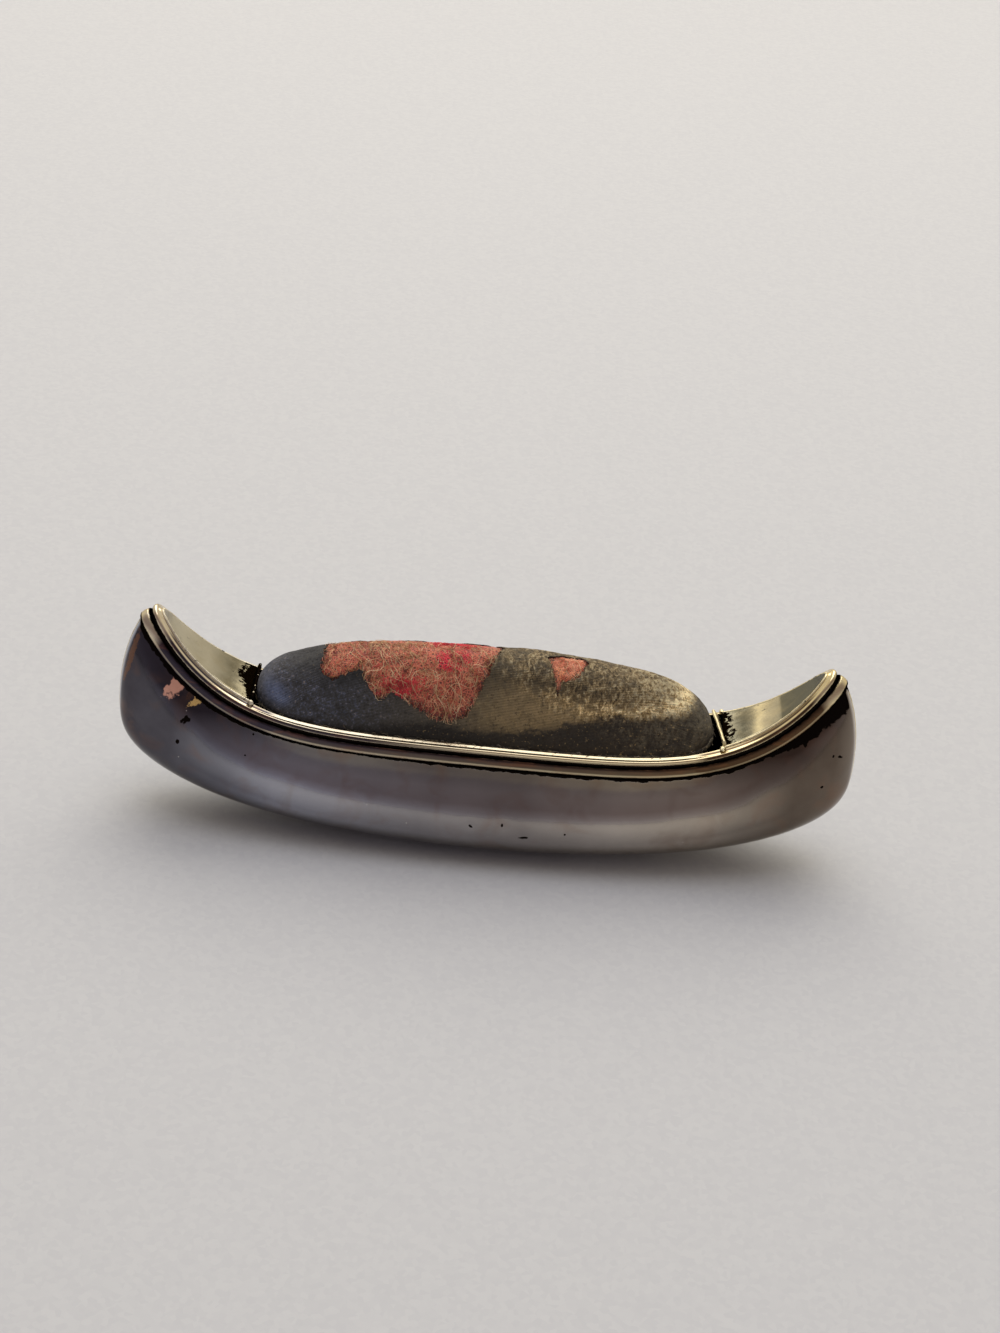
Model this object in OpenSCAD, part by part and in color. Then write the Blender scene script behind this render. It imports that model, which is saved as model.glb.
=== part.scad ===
// Canoe pin cushion: a small silver canoe, stamped in two half shells and soldered along
// its keel and stems, with a reeded gunwale and a short deck at each end. A stuffed pad
// fills the waist. It is built up on a card, glued to a softwood block, and the block
// stands on a bed of pitch poured into the bottom of the hull.
//
// Millimetres. +Z is up, +X runs aft along the canoe, and -Y is the port side.
// The origin lies on the table under the middle of the keel.

/* [Hull] */
// Length of the canoe over its two stems
boat_length = 100; // [90:1:115]
// How far each stem bulges past the tip of the gunwale
stem_reach = 4.9; // [3.5:0.1:6.5]
// Height at which a stem reaches furthest out
stem_height = 16.2; // [14:0.1:18]
// Distance from a stem's furthest point back to where the keel turns up into it
forefoot = 11; // [8:0.5:14]
// How far the top of a stem has turned back inboard, in degrees of its curve
stem_turn = 50; // [40:1:60]
// Reach of the bottom of the middle section, as a Bezier handle
floor_reach = 13; // [11.5:0.1:14]
// Reach of the belly of the middle section, as a Bezier handle
belly_reach = 12.25; // [11:0.05:13]
// Height of the belly of the middle section, as a Bezier handle
belly_height = 8.1; // [7:0.1:9.5]
// How much the keel is dressed flat so that the canoe stands
flat_depth = 0.15; // [0.1:0.01:0.3]
// Thickness of the silver sheet
sheet = 0.45; // [0.35:0.05:0.6]
// Width of the solder seam between the two halves
seam_width = 0.4; // [0.2:0.05:0.6]
// How far the seam stands proud of the stems
seam_proud = 0.12; // [0.05:0.01:0.2]

/* [Gunwale] */
// Width over the two gunwales amidships
rim_beam = 14.4; // [13.6:0.1:15.4]
// Height of the gunwale amidships
rim_height = 16.7; // [15.5:0.1:18]
// Height of the gunwale at its tips
tip_height = 30; // [26:0.1:34]
// Width of the top of the gunwale
rim_width = 1.1; // [0.8:0.05:1.3]
// How far the top of the gunwale slopes down towards its outer edge
rim_slope = 0.25; // [0.1:0.05:0.35]
// Height of the upper reed
upper_reed = 1; // [0.8:0.05:1.3]
// Width of the groove between the reeds
reed_groove = 0.45; // [0.3:0.05:0.6]
// Height of the lower reed
lower_reed = 1.55; // [1.3:0.05:1.8]
// How far the reeds stand out from the sheet
reed_relief = 0.45; // [0.3:0.05:0.55]
// Depth to which the upper reed laps over the edge of the sheet
reed_lap = 0.5; // [0.4:0.05:0.8]

/* [Decks] */
// Length of each deck, from the tip of the gunwale to the coaming
deck_length = 13.1; // [11:0.1:16]
// Thickness of a deck plate
deck_sheet = 0.5; // [0.4:0.05:0.8]
// How far a deck stands above the gunwale
deck_rise = 0.25; // [0.15:0.05:0.3]
// Thickness of a coaming strip
coaming_thickness = 0.45; // [0.3:0.05:0.7]
// How far a coaming stands above its deck
coaming_rise = 0.75; // [0.5:0.05:1.1]
// How far a coaming reaches down below the gunwale
coaming_drop = 1.9; // [1.2:0.1:2.6]

/* [Pad] */
// Height of the pad above the line where it leaves the gunwale
pad_height = 11.2; // [9:0.1:12.5]
// How far below the gunwale the pad starts to bulge
pad_sink = 0.5; // [0.3:0.05:0.8]
// Gap between an end of the pad and its coaming, with the pad in the middle
pad_end_gap = 0.4; // [0.3:0.05:0.9]
// How far the pad sits forward of the middle
pad_shift = 0.2; // [0:0.05:0.25]
// Thickness of the cloth cover
cover_thickness = 0.4; // [0.3:0.05:0.6]
// Width of the cover's margin, turned in under the card
cover_margin = 3; // [2:0.1:4]
// Thickness of the wool wadding under the cover
wool_thickness = 1.6; // [1:0.1:2.4]
// Depth of the card's underside below the gunwale
card_depth = 4.3; // [3.8:0.1:5.5]
// Thickness of the card
card_thickness = 1.2; // [0.8:0.1:1.5]
// Diameter of the gathering thread
thread_diameter = 0.36; // [0.2:0.02:0.38]
// Tilt of the tears towards port
tear_tilt = 35; // [30:1:40]

/* [Filling] */
// Length of the wooden block
block_length = 46; // [36:1:50]
// Width of the wooden block amidships
block_width = 10.8; // [9:0.1:11.4]
// Height of the top of the pitch bed
bed_height = 4; // [3:0.1:5.5]

/* [Fits] */
// Gap between soldered silver pieces
solder_gap = 0.03; // [0.02:0.01:0.05]
// Gap between the pad and the gunwale
pad_gap = 0.12; // [0.08:0.01:0.25]
// Gap between soft layers of the pad
layer_gap = 0.08; // [0.05:0.01:0.15]
// Gap between the pitch bed and the sheet
bed_gap = 0.12; // [0.08:0.01:0.2]

/* [Hidden] */

// Shape powers of the hull: how full its lines run out towards the tips
rim_fullness = [2.55, 0.42];
keel_fullness = [1.65, 0.52];
rocker = [1.9, 0.32];
sheer_power = 5;
reed_fullness = 0.6;
// Shape powers of the pad along its length and across it
pad_along = [2.5, 0.42];
pad_across = [2.4, 0.415];
pad_corner = [18, 0.35];
// How much the spokes of the pad's plan swing towards its corners
spoke_swing = 0.8;

// How finely the curved skins are cut
hull_stations = 48;
hull_waterlines = 12;
reed_arc_step = 30;
deck_stations = 14;
pad_spokes = 44;
pad_rings = 9;
ring_crowding = 2.2;
bed_stations = 20;
bed_edge = 0.5;
bed_waterlines = 6;
thread_sides = 8;
solve_steps = 16;

hull_half = boat_length / 2;
stem_x = hull_half - seam_proud;
rim_half = hull_half - stem_reach;
rim_y = rim_beam / 2;
band_height = upper_reed + reed_groove + lower_reed;
seam_half = seam_width / 2;
skin_inset = reed_relief + seam_half;
deck_start = rim_half - deck_length;
pad_half = deck_start - coaming_thickness - pad_end_gap;
card_bottom = rim_height - card_depth;
card_top = card_bottom + card_thickness;
block_top = card_bottom - cover_thickness;
wool_inset = cover_thickness + layer_gap;
core_inset = wool_inset + wool_thickness + layer_gap;

// Outline of the large tear in the cover, seen along its tilted axis
large_tear = [
    [-22.8, 1.6], [-21, 0.5], [-17.4, 1.9], [-14.6, -1.4], [-13.1, -0.1], [-7.9, -2.5],
    [-4.9, -2.8], [-2.9, -2.2], [-1.1, 0.8], [0.7, 5.3], [1.4, 7.4], [-6, 8.1], [-14, 7.5],
    [-22.4, 6.4]
];
// Outline of the small tear, seen the same way
small_tear = [
    [7.4, 6.6], [8.1, 5.2], [8.9, 2.7], [9.4, 3.8], [11.2, 4.5], [12.4, 6.6], [11.6, 7.4], [9, 7.2]
];
// Where the cut of a tear starts and how far it goes, out along its axis from the gunwale
tear_floor = 4.5;
tear_reach = 9;

// ---- Curves of the canoe ----

// How much of its full width a line keeps at u, from -1 at the bow to 1 at the stern
function taper(u, powers) = pow(max(0, 1 - pow(abs(u), powers[0])), powers[1]);

// Height of the gunwale at x, and its slope there
function sheer(x) = rim_height + (tip_height - rim_height) * pow(abs(x) / rim_half, sheer_power);
function sheer_slope(x) =
    sign(x) * (tip_height - rim_height) * sheer_power / rim_half
    * pow(abs(x) / rim_half, sheer_power - 1);

// Half width of the gunwale at x
function rim_breadth(x) = rim_y * taper(x / rim_half, rim_fullness);

// A point beside the port gunwale: out from its edge and up from its top, square to it
function beside_rim(u, out, up) =
    let (
        x = rim_half * u,
        slope = sheer_slope(x),
        run = sqrt(1 + slope * slope),
        a = min(abs(u), 1 - 1e-7),
        narrowing = -rim_y * rim_fullness[1] * rim_fullness[0] / rim_half * sign(u)
            * pow(1 - pow(a, rim_fullness[0]), rim_fullness[1] - 1)
            * pow(a, rim_fullness[0] - 1),
        length = sqrt(narrowing * narrowing + run * run),
        along = -narrowing / length,
        side = run / length
    )
    [
        x + out * along / run - up * slope / run,
        -rim_breadth(x) - out * side,
        sheer(x) + out * along * slope / run + up / run
    ];

// The middle section from keel (v = 0) to gunwale (v = 1), moved in by an inset
function section(v, inset) =
    let (
        top = rim_height - band_height + flat_depth,
        edge = rim_y - skin_inset,
        w = 1 - v,
        y = 3 * w * w * v * floor_reach + 3 * w * v * v * belly_reach + v * v * v * edge,
        z = 3 * w * v * v * belly_height + v * v * v * top,
        dy = 3 * w * w * floor_reach + 6 * w * v * (belly_reach - floor_reach)
            + 3 * v * v * (edge - belly_reach),
        dz = 6 * w * v * belly_height + 3 * v * v * (top - belly_height),
        n = sqrt(dy * dy + dz * dz)
    )
    [y - inset * dz / n * (v < 1 ? 1 : 0) - (v < 1 ? 0 : inset), z + inset * dy / n * w];

function rocker_height(t) = stem_height * (1 - pow(max(0, 1 - pow(t, rocker[0])), rocker[1]));

// The stem's edge from the forefoot (v = 0) up to the gunwale's tip (v = 1)
function stem(v, inset) =
    let (
        hull_top = beside_rim(1, -skin_inset, -band_height),
        foot = 1 - forefoot / stem_x,
        rise = min(1, v * 2) * 90,
        t = foot + (1 - foot) * sin(rise),
        turn = max(0, v * 2 - 1) * stem_turn,
        reach = (stem_x - hull_top[0]) / (1 - cos(stem_turn)),
        climb = (hull_top[2] + flat_depth - stem_height) / sin(stem_turn),
        low = [t * stem_x, rocker_height(t)],
        high = [stem_x - reach * (1 - cos(turn)), stem_height + climb * sin(turn)],
        p = v <= 0.5 ? low : high,
        lean = v <= 0.5 ? 90 - rise : -turn
    )
    [p[0] - inset * cos(lean), p[1] + inset * max(0, sin(lean))];

// How much of the keel's rise is reached at u
function keel_rise(u) =
    let (foot = 1 - forefoot / stem_x) rocker_height(abs(u) * foot) / rocker_height(foot);

// The free form of the half shell, before its edge is drawn to the gunwale
function free_skin(u, v, inset) =
    let (
        s = section(v, inset),
        e = stem(v, inset),
        powers = keel_fullness + (rim_fullness - keel_fullness) * v,
        rise = (1 - v) * keel_rise(u) + v * pow(abs(u), sheer_power)
    )
    [u * e[0], -s[0] * taper(u, powers), s[1] + (e[1] - s[1]) * rise - flat_depth];

function smooth(t) = t * t * (3 - 2 * t);

// A point of the port half shell: u from bow to stern, v from keel to gunwale
function skin(u, v, inset) =
    let (
        p = free_skin(u, v, inset),
        edge = beside_rim(u, -skin_inset - inset, -band_height),
        pull = smooth(max(0, v * 2 - 1)),
        q = p + pull * (edge - free_skin(u, 1, inset))
    )
    [q[0], q[1] - seam_half, max(q[2], inset)];

// Stations that crowd together towards the tips
function station(i, count) = sin(180 * i / count - 90);

// The waterline at which the inside of the shell reaches a height
function waterline_at(u, inset, z, low = 0, high = 1, steps = solve_steps) =
    let (middle = (low + high) / 2)
    steps == 0 ? low
    : skin(u, middle, inset)[2] < z ? waterline_at(u, inset, z, middle, high, steps - 1)
    : waterline_at(u, inset, z, low, middle, steps - 1);

// How far along the hull its keel stays below a height
function waterline_reach(inset, z, low = 0, high = 1, steps = solve_steps) =
    let (middle = (low + high) / 2)
    steps == 0 ? low
    : skin(middle, 0, inset)[2] < z ? waterline_reach(inset, z, middle, high, steps - 1)
    : waterline_reach(inset, z, low, middle, steps - 1);

// ---- Curves of the pad ----

// Half width of the pad's foot at x, drawn in all round by an inset
function pad_breadth(x, inset) =
    let (u = min(1, abs(x) / (pad_half - inset)))
    max(0, rim_breadth(x) - rim_width - pad_gap - inset) * taper(u, pad_corner);

// A point of the pad's foot: angle 0 is aft, 90 is starboard
function pad_foot(angle, inset) =
    let (
        u = cos(angle) * pow(max(abs(cos(angle)), abs(sin(angle))), -spoke_swing),
        x = (pad_half - inset) * max(-1, min(1, u))
    )
    [x, abs(u) < 1 ? sign(sin(angle)) * pad_breadth(x, inset) : 0];

// Height of the pad at a point of its plan
function pad_top(x, y, inset) =
    let (
        u = min(1, abs(x) / (pad_half - inset)),
        breadth = pad_breadth(x, inset),
        t = breadth > 0 ? min(1, abs(y) / breadth) : 1
    )
    sheer(x) - pad_sink + (pad_height - inset) * taper(u, pad_along) * taper(t, pad_across);

function pad_plan(inset) =
    [for (i = [0:pad_spokes - 1]) pad_foot(360 * i / pad_spokes, inset)];

// One ring of the pad's crown, from 0 at its middle to 1 at its foot
function pad_ring(share, inset) = [
    for (p = pad_plan(inset))
        [p[0] * share, p[1] * share, pad_top(p[0] * share, p[1] * share, inset)]
];

function pad_level(inset, z) = [for (p = pad_plan(inset)) [p[0], p[1], z]];

// The crown's rings, close together where the sides are steep
function pad_crown(inset) =
    [for (i = [1:pad_rings]) pad_ring(1 - pow(1 - i / pad_rings, ring_crowding), inset)];

// ---- Solids from curves ----

function reversed(list) = [for (i = [len(list) - 1:-1:0]) list[i]];

function joined(lists) = [for (list = lists) for (item = list) item];

// A closed solid through rings of as many points each, capped at both ends
module through_rings(rings) {
    count = len(rings[0]);
    last = (len(rings) - 1) * count;
    polyhedron(
        points = joined(rings),
        faces = concat(
            [[for (k = [count - 1:-1:0]) k]],
            [
                for (i = [0:len(rings) - 2])
                    for (k = [0:count - 1])
                        for (half = [0, 1])
                            let (
                                a = i * count + k,
                                b = i * count + (k + 1) % count,
                                c = a + count,
                                d = b + count
                            )
                            half == 0 ? [a, b, c] : [b, d, c]
            ],
            [[for (k = [0:count - 1]) last + k]]
        )
    );
}

// A plate that is flat from side to side: port edge points, bow to stern, top over bottom
module decking(top, bottom) {
    count = len(top);
    flipped = [for (p = concat(top, bottom)) [p[0], -p[1], p[2]]];
    // Point numbers: port top, port bottom, starboard top, starboard bottom
    points = concat(top, bottom, flipped);
    tip = count - 1;
    polyhedron(
        points = points,
        faces = concat(
            joined([
                for (i = [0:tip - 1])
                    let (j = i + 1, s = 2 * count)
                    [
                        [i, s + i, s + j], [i, s + j, j],
                        [count + i, count + j, s + count + j], [count + i, s + count + j, s + count + i],
                        [i, j, count + j], [i, count + j, count + i],
                        [s + i, s + count + j, s + j], [s + i, s + count + i, s + count + j]
                    ]
            ]),
            [[0, count, 3 * count, 2 * count], [tip, 2 * count + tip, 3 * count + tip, count + tip]]
        )
    );
}

module mirrored() {
    mirror([0, 1, 0]) children();
}

module turned_about() {
    mirror([1, 0, 0]) children();
}

// ---- Hull ----

// The edge of the half shell, where it stands up behind the reeds
function skin_lip(u, inset) =
    beside_rim(u, -skin_inset - inset, -reed_lap - solder_gap) - [0, seam_half, 0];

function skin_line(u, inset) = concat(
    [for (j = [0:hull_waterlines]) skin(u, j / hull_waterlines, inset)],
    [skin_lip(u, inset)]
);

module half_shell() {
    through_rings([
        for (i = [0:hull_stations])
            let (u = station(i, hull_stations))
            concat(skin_line(u, 0), reversed(skin_line(u, sheet)))
    ]);
}

module hull_port() {
    color("silver") half_shell();
}

module hull_starboard() {
    color("silver") mirrored() half_shell();
}

// Outline of the seam seen from the side, from one stem's head down and round to the other's
function seam_line(inset, proud) = [
    for (end = [-1, 1])
        let (
            head = [skin_lip(end, inset)],
            edge = [for (j = [hull_waterlines:-1:0]) skin(end, j / hull_waterlines, inset)],
            down = concat(head, edge),
            line = [for (p = down) [p[0] + end * proud, p[2]]]
        )
        for (p = end < 0 ? line : reversed(line)) p
];

function keel_line(inset) = [
    for (i = [1:hull_stations - 1])
        let (p = skin(station(i, hull_stations), 0, inset))
        [p[0], p[2]]
];

function seam_side(inset, proud) =
    let (ends = seam_line(inset, proud), half = len(ends) / 2)
    concat(
        [for (i = [0:half - 1]) ends[i]],
        keel_line(inset),
        [for (i = [half:2 * half - 1]) ends[i]]
    );

module keel_seam() {
    color("gainsboro")
    rotate([90, 0, 0])
    linear_extrude(seam_width, center = true)
    polygon(concat(seam_side(0, seam_proud), reversed(seam_side(sheet, 0))));
}

// ---- Gunwale ----

// Rounded outer face of a reed, from its bottom to its top
function reed_face(top, height) = [
    for (angle = [-90:reed_arc_step:90])
        [
            -reed_relief + solder_gap + (reed_relief - solder_gap) * pow(cos(angle), reed_fullness),
            top - height / 2 + height / 2 * sin(angle)
        ]
];

function upper_reed_section() = concat(
    reed_face(-rim_slope, upper_reed - rim_slope),
    [
        [-rim_width + reed_lap / 3, 0],
        [-rim_width, -reed_lap / 3],
        [-rim_width, -reed_lap],
        [-reed_relief + solder_gap, -reed_lap]
    ]
);

function lower_reed_section() = reed_face(-upper_reed - reed_groove, lower_reed);

module along_gunwale(profile) {
    through_rings([
        for (i = [0:hull_stations])
            let (u = station(i, hull_stations))
            [for (p = profile) beside_rim(u, p[0], p[1])]
    ]);
}

module upper_reed_port() {
    color("silver") along_gunwale(upper_reed_section());
}

module upper_reed_starboard() {
    color("silver") mirrored() along_gunwale(upper_reed_section());
}

module lower_reed_port() {
    color("silver") along_gunwale(lower_reed_section());
}

module lower_reed_starboard() {
    color("silver") mirrored() along_gunwale(lower_reed_section());
}

// ---- Decks ----

// One edge of the aft deck, at a height above the gunwale
function deck_edge(up) = [
    for (i = [0:deck_stations])
        let (
            first = deck_start / rim_half,
            u = first + (1 - first) * sin(90 * i / deck_stations),
            p = beside_rim(u, -rim_width - solder_gap, up)
        )
        [p[0], min(p[1], -solder_gap), p[2]]
];

module deck() {
    decking(deck_edge(deck_rise), deck_edge(deck_rise - deck_sheet));
}

module aft_deck() {
    color("silver") deck();
}

module fore_deck() {
    color("silver") turned_about() deck();
}

// A strip across the deck's inner end, standing square to the gunwale
module coaming() {
    u = deck_start / rim_half;
    width = -2 * beside_rim(u, -rim_width - pad_gap, 0)[1];
    radius = coaming_thickness / 2;
    straight = coaming_drop + deck_rise + coaming_rise - radius;
    translate([deck_start, 0, sheer(deck_start)])
    rotate([0, -atan(sheer_slope(deck_start)), 0])
    translate([-radius - solder_gap, 0, 0])
    rotate([90, 0, 0])
    linear_extrude(width, center = true)
    union() {
        translate([-radius, -coaming_drop]) square([coaming_thickness, straight]);
        translate([0, straight - coaming_drop]) circle(radius, $fn = 24);
    }
}

module aft_coaming() {
    color("gainsboro") coaming();
}

module fore_coaming() {
    color("gainsboro") turned_about() coaming();
}

// ---- Filling ----

// Poured pitch: it takes the shape of the hull below and lies level on top
module pitch_bed() {
    inset = sheet + bed_gap;
    first = waterline_reach(inset, bed_height - bed_edge);
    color("dimgray")
    through_rings([
        for (i = [0:bed_stations])
            let (
                u = first * station(i, bed_stations),
                top = waterline_at(u, inset, bed_height),
                side = [for (j = [0:bed_waterlines]) skin(u, top * j / bed_waterlines, inset)]
            )
            concat(
                [for (p = reversed(side)) [p[0], -p[1], min(p[2], bed_height)]],
                [for (p = side) [p[0], p[1], min(p[2], bed_height)]]
            )
    ]);
}

// A whittled softwood block with its corners taken off
module cushion_block() {
    corner = block_width / 3;
    color("burlywood")
    translate([0, 0, bed_height])
    linear_extrude(block_top - bed_height)
    polygon([
        for (s = [[1, 1], [-1, 1], [-1, -1], [1, -1]])
            for (cut = s[0] * s[1] > 0 ? [0, 1] : [1, 0])
                [
                    s[0] * (block_length / 2 - (cut == 1 ? corner : 0)),
                    s[1] * (block_width / 2 - (cut == 0 ? corner / 2 : 0))
                ]
    ]);
}

// ---- Pad ----

module seated() {
    translate([-pad_shift, 0, 0]) children();
}

module glue_film() {
    color("saddlebrown")
    seated()
    translate([0, 0, block_top])
    linear_extrude(cover_thickness)
    polygon(pad_plan(cover_margin + thread_diameter + 2 * layer_gap));
}

module pad_card() {
    color("tan")
    seated()
    translate([0, 0, card_bottom])
    linear_extrude(card_thickness)
    polygon(pad_plan(cover_thickness + layer_gap));
}

// The running thread that draws the cover's margin together under the card
module gathering_thread() {
    path = pad_plan(cover_margin + layer_gap + thread_diameter / 2);
    count = len(path);
    radius = thread_diameter / 2;
    rings = [
        for (i = [0:count - 1])
            let (
                way = path[(i + 1) % count] - path[(i + count - 1) % count],
                side = [way[1], -way[0]] / norm(way)
            )
            [
                for (k = [0:thread_sides - 1])
                    let (angle = 360 * k / thread_sides)
                    [
                        path[i][0] + side[0] * radius * cos(angle),
                        path[i][1] + side[1] * radius * cos(angle),
                        block_top + cover_thickness / 2 + radius * sin(angle)
                    ]
            ]
    ];
    color("black")
    seated()
    polyhedron(
        points = joined(rings),
        faces = [
            for (i = [0:count - 1])
                for (k = [0:thread_sides - 1])
                    for (half = [0, 1])
                        let (
                            n = thread_sides,
                            a = i * n + k,
                            b = i * n + (k + 1) % n,
                            c = (i + 1) % count * n + k,
                            d = (i + 1) % count * n + (k + 1) % n
                        )
                        half == 0 ? [a, b, c] : [b, d, c]
        ]
    );
}

module sawdust_core() {
    color("peru")
    seated()
    through_rings(concat(pad_crown(core_inset), [pad_level(core_inset, card_top)]));
}

module wool_wadding() {
    inner = core_inset - layer_gap;
    color("indianred")
    seated()
    through_rings(concat(
        pad_crown(wool_inset),
        [pad_level(wool_inset, card_top), pad_level(inner, card_top)],
        reversed(pad_crown(inner))
    ));
}

// A hole worn through the cover, cut square to the tilted side of the pad
module tear(outline) {
    translate([0, 0, rim_height])
    rotate([tear_tilt, 0, 0])
    translate([0, 0, tear_floor])
    linear_extrude(tear_reach)
    polygon(outline);
}

module pad_cover() {
    color([0.25, 0.25, 0.24])
    difference() {
        seated()
        through_rings(concat(
            pad_crown(0),
            [
                pad_level(0, block_top),
                pad_level(cover_margin, block_top),
                pad_level(cover_margin, card_bottom),
                pad_level(cover_thickness, card_bottom)
            ],
            reversed(pad_crown(cover_thickness))
        ));
        tear(large_tear);
        tear(small_tear);
    }
}

hull_port();
hull_starboard();
keel_seam();
upper_reed_port();
upper_reed_starboard();
lower_reed_port();
lower_reed_starboard();
fore_deck();
aft_deck();
fore_coaming();
aft_coaming();
pitch_bed();
cushion_block();
glue_film();
pad_card();
gathering_thread();
sawdust_core();
wool_wadding();
pad_cover();
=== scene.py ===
"""Looks of a small silver canoe with a stuffed pin pad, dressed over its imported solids.

The hull is stamped silver sheet with a reeded gunwale, a short deck at each end and a
coaming behind each deck. The pad's cloth cover has worn through and shows its red wool.
Shapes are worked out in millimetres and turned to metres as each mesh is made. +X runs
aft, +Z is up and -Y is the port side.
"""

import logging
import math
from collections.abc import Callable
from dataclasses import dataclass, field, replace
from enum import Enum

import bpy
import numpy as np
from mathutils import Matrix, Vector, noise


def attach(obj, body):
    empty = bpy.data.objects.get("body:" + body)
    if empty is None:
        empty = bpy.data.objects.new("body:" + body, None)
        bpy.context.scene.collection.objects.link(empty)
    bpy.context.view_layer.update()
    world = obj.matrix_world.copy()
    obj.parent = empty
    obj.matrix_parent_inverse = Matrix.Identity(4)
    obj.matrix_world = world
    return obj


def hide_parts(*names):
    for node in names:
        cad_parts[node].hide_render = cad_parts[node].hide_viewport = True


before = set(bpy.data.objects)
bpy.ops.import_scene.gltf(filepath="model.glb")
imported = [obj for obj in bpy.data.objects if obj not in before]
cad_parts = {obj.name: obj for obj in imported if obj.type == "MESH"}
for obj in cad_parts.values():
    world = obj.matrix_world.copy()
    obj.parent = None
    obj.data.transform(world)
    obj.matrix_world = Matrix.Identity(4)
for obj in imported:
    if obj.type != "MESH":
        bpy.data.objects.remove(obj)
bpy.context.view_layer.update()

LOG = logging.getLogger("canoe")
MM = 0.001
Array = np.ndarray
Faces = list[tuple[int, ...]]
Pair = tuple[float, float]
Triple = tuple[float, float, float]
# Places in rising order, each with its value
Table = tuple[Pair, ...]
Node = bpy.types.Node
Tree = bpy.types.NodeTree
Piece = bpy.types.Object


class Named(Enum):
    """An option that gives pieces a part of their names."""

    @property
    def label(self) -> str:
        """Its name in small letters."""
        return self.name.lower()


class Side(Named):
    """A side of the canoe, with the sign of its Y."""

    PORT = -1
    STARBOARD = 1


class End(Named):
    """An end of the canoe, with the sign of its X."""

    FORE = -1
    AFT = 1


# ---- Numbers ----


def ramp(value: Array, start: float, end: float) -> Array:
    """The share, from 0 to 1, of the way from start to end that a value has come."""
    return np.clip((value - start) / (end - start), 0, 1)


def looked_up(table: Table, at: Array) -> Array:
    """A table's values at places, straight between its own."""
    return np.interp(at, *zip(*table))


def crowded(count: int) -> Array:
    """Shares from -1 to 1 that crowd together towards both ends."""
    return np.sin(np.linspace(-math.pi / 2, math.pi / 2, count))


def unit(ways: Array) -> Array:
    """Directions brought to a length of 1."""
    return ways / np.maximum(np.linalg.norm(ways, axis=-1, keepdims=True), 1e-9)


def steps_along(points: Array) -> Array:
    """Distance from each point to the next, along the axis before the last."""
    return np.linalg.norm(np.diff(points, axis=-2), axis=-1)


def sheet_normals(sheet: Array) -> Array:
    """The direction square to a grid of points, at each of them."""
    return unit(np.cross(np.gradient(sheet, axis=0), np.gradient(sheet, axis=1)))


def bisected(low: Array, high: Array, short: Callable[[Array], Array]) -> Array:
    """The last place between two ends where a test holds, found by halving the distance."""
    for _ in range(40):
        middle = (low + high) / 2
        below = short(middle)
        low, high = np.where(below, middle, low), np.where(below, high, middle)
    return low


def edge_round(sheet: Array) -> Array:
    """What lies along the four edges of a grid, once round."""
    return np.concatenate([sheet[:, 0], sheet[-1, 1:], sheet[-2::-1, -1], sheet[0, -2:0:-1]])


def cloudy(points: Array, size: float, seed: int, octaves: int = 3) -> Array:
    """Smooth noise of about -1 to 1 at points.

    Args:
        points: Points in millimetres, with x, y and z last.
        size: Size of its features in millimetres.
        seed: Which noise to take.
        octaves: How many finer layers it has.

    Returns:
        One value for each point.
    """
    shift = np.array([seed * 17.31, seed * 5.17, seed * 9.73])
    flat = (points.reshape(-1, 3) / size + shift).tolist()
    values = [noise.fractal(p, 1.0, 2.0, octaves) for p in flat]
    return np.array(values).reshape(points.shape[:-1])


# ---- Curves ----


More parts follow.
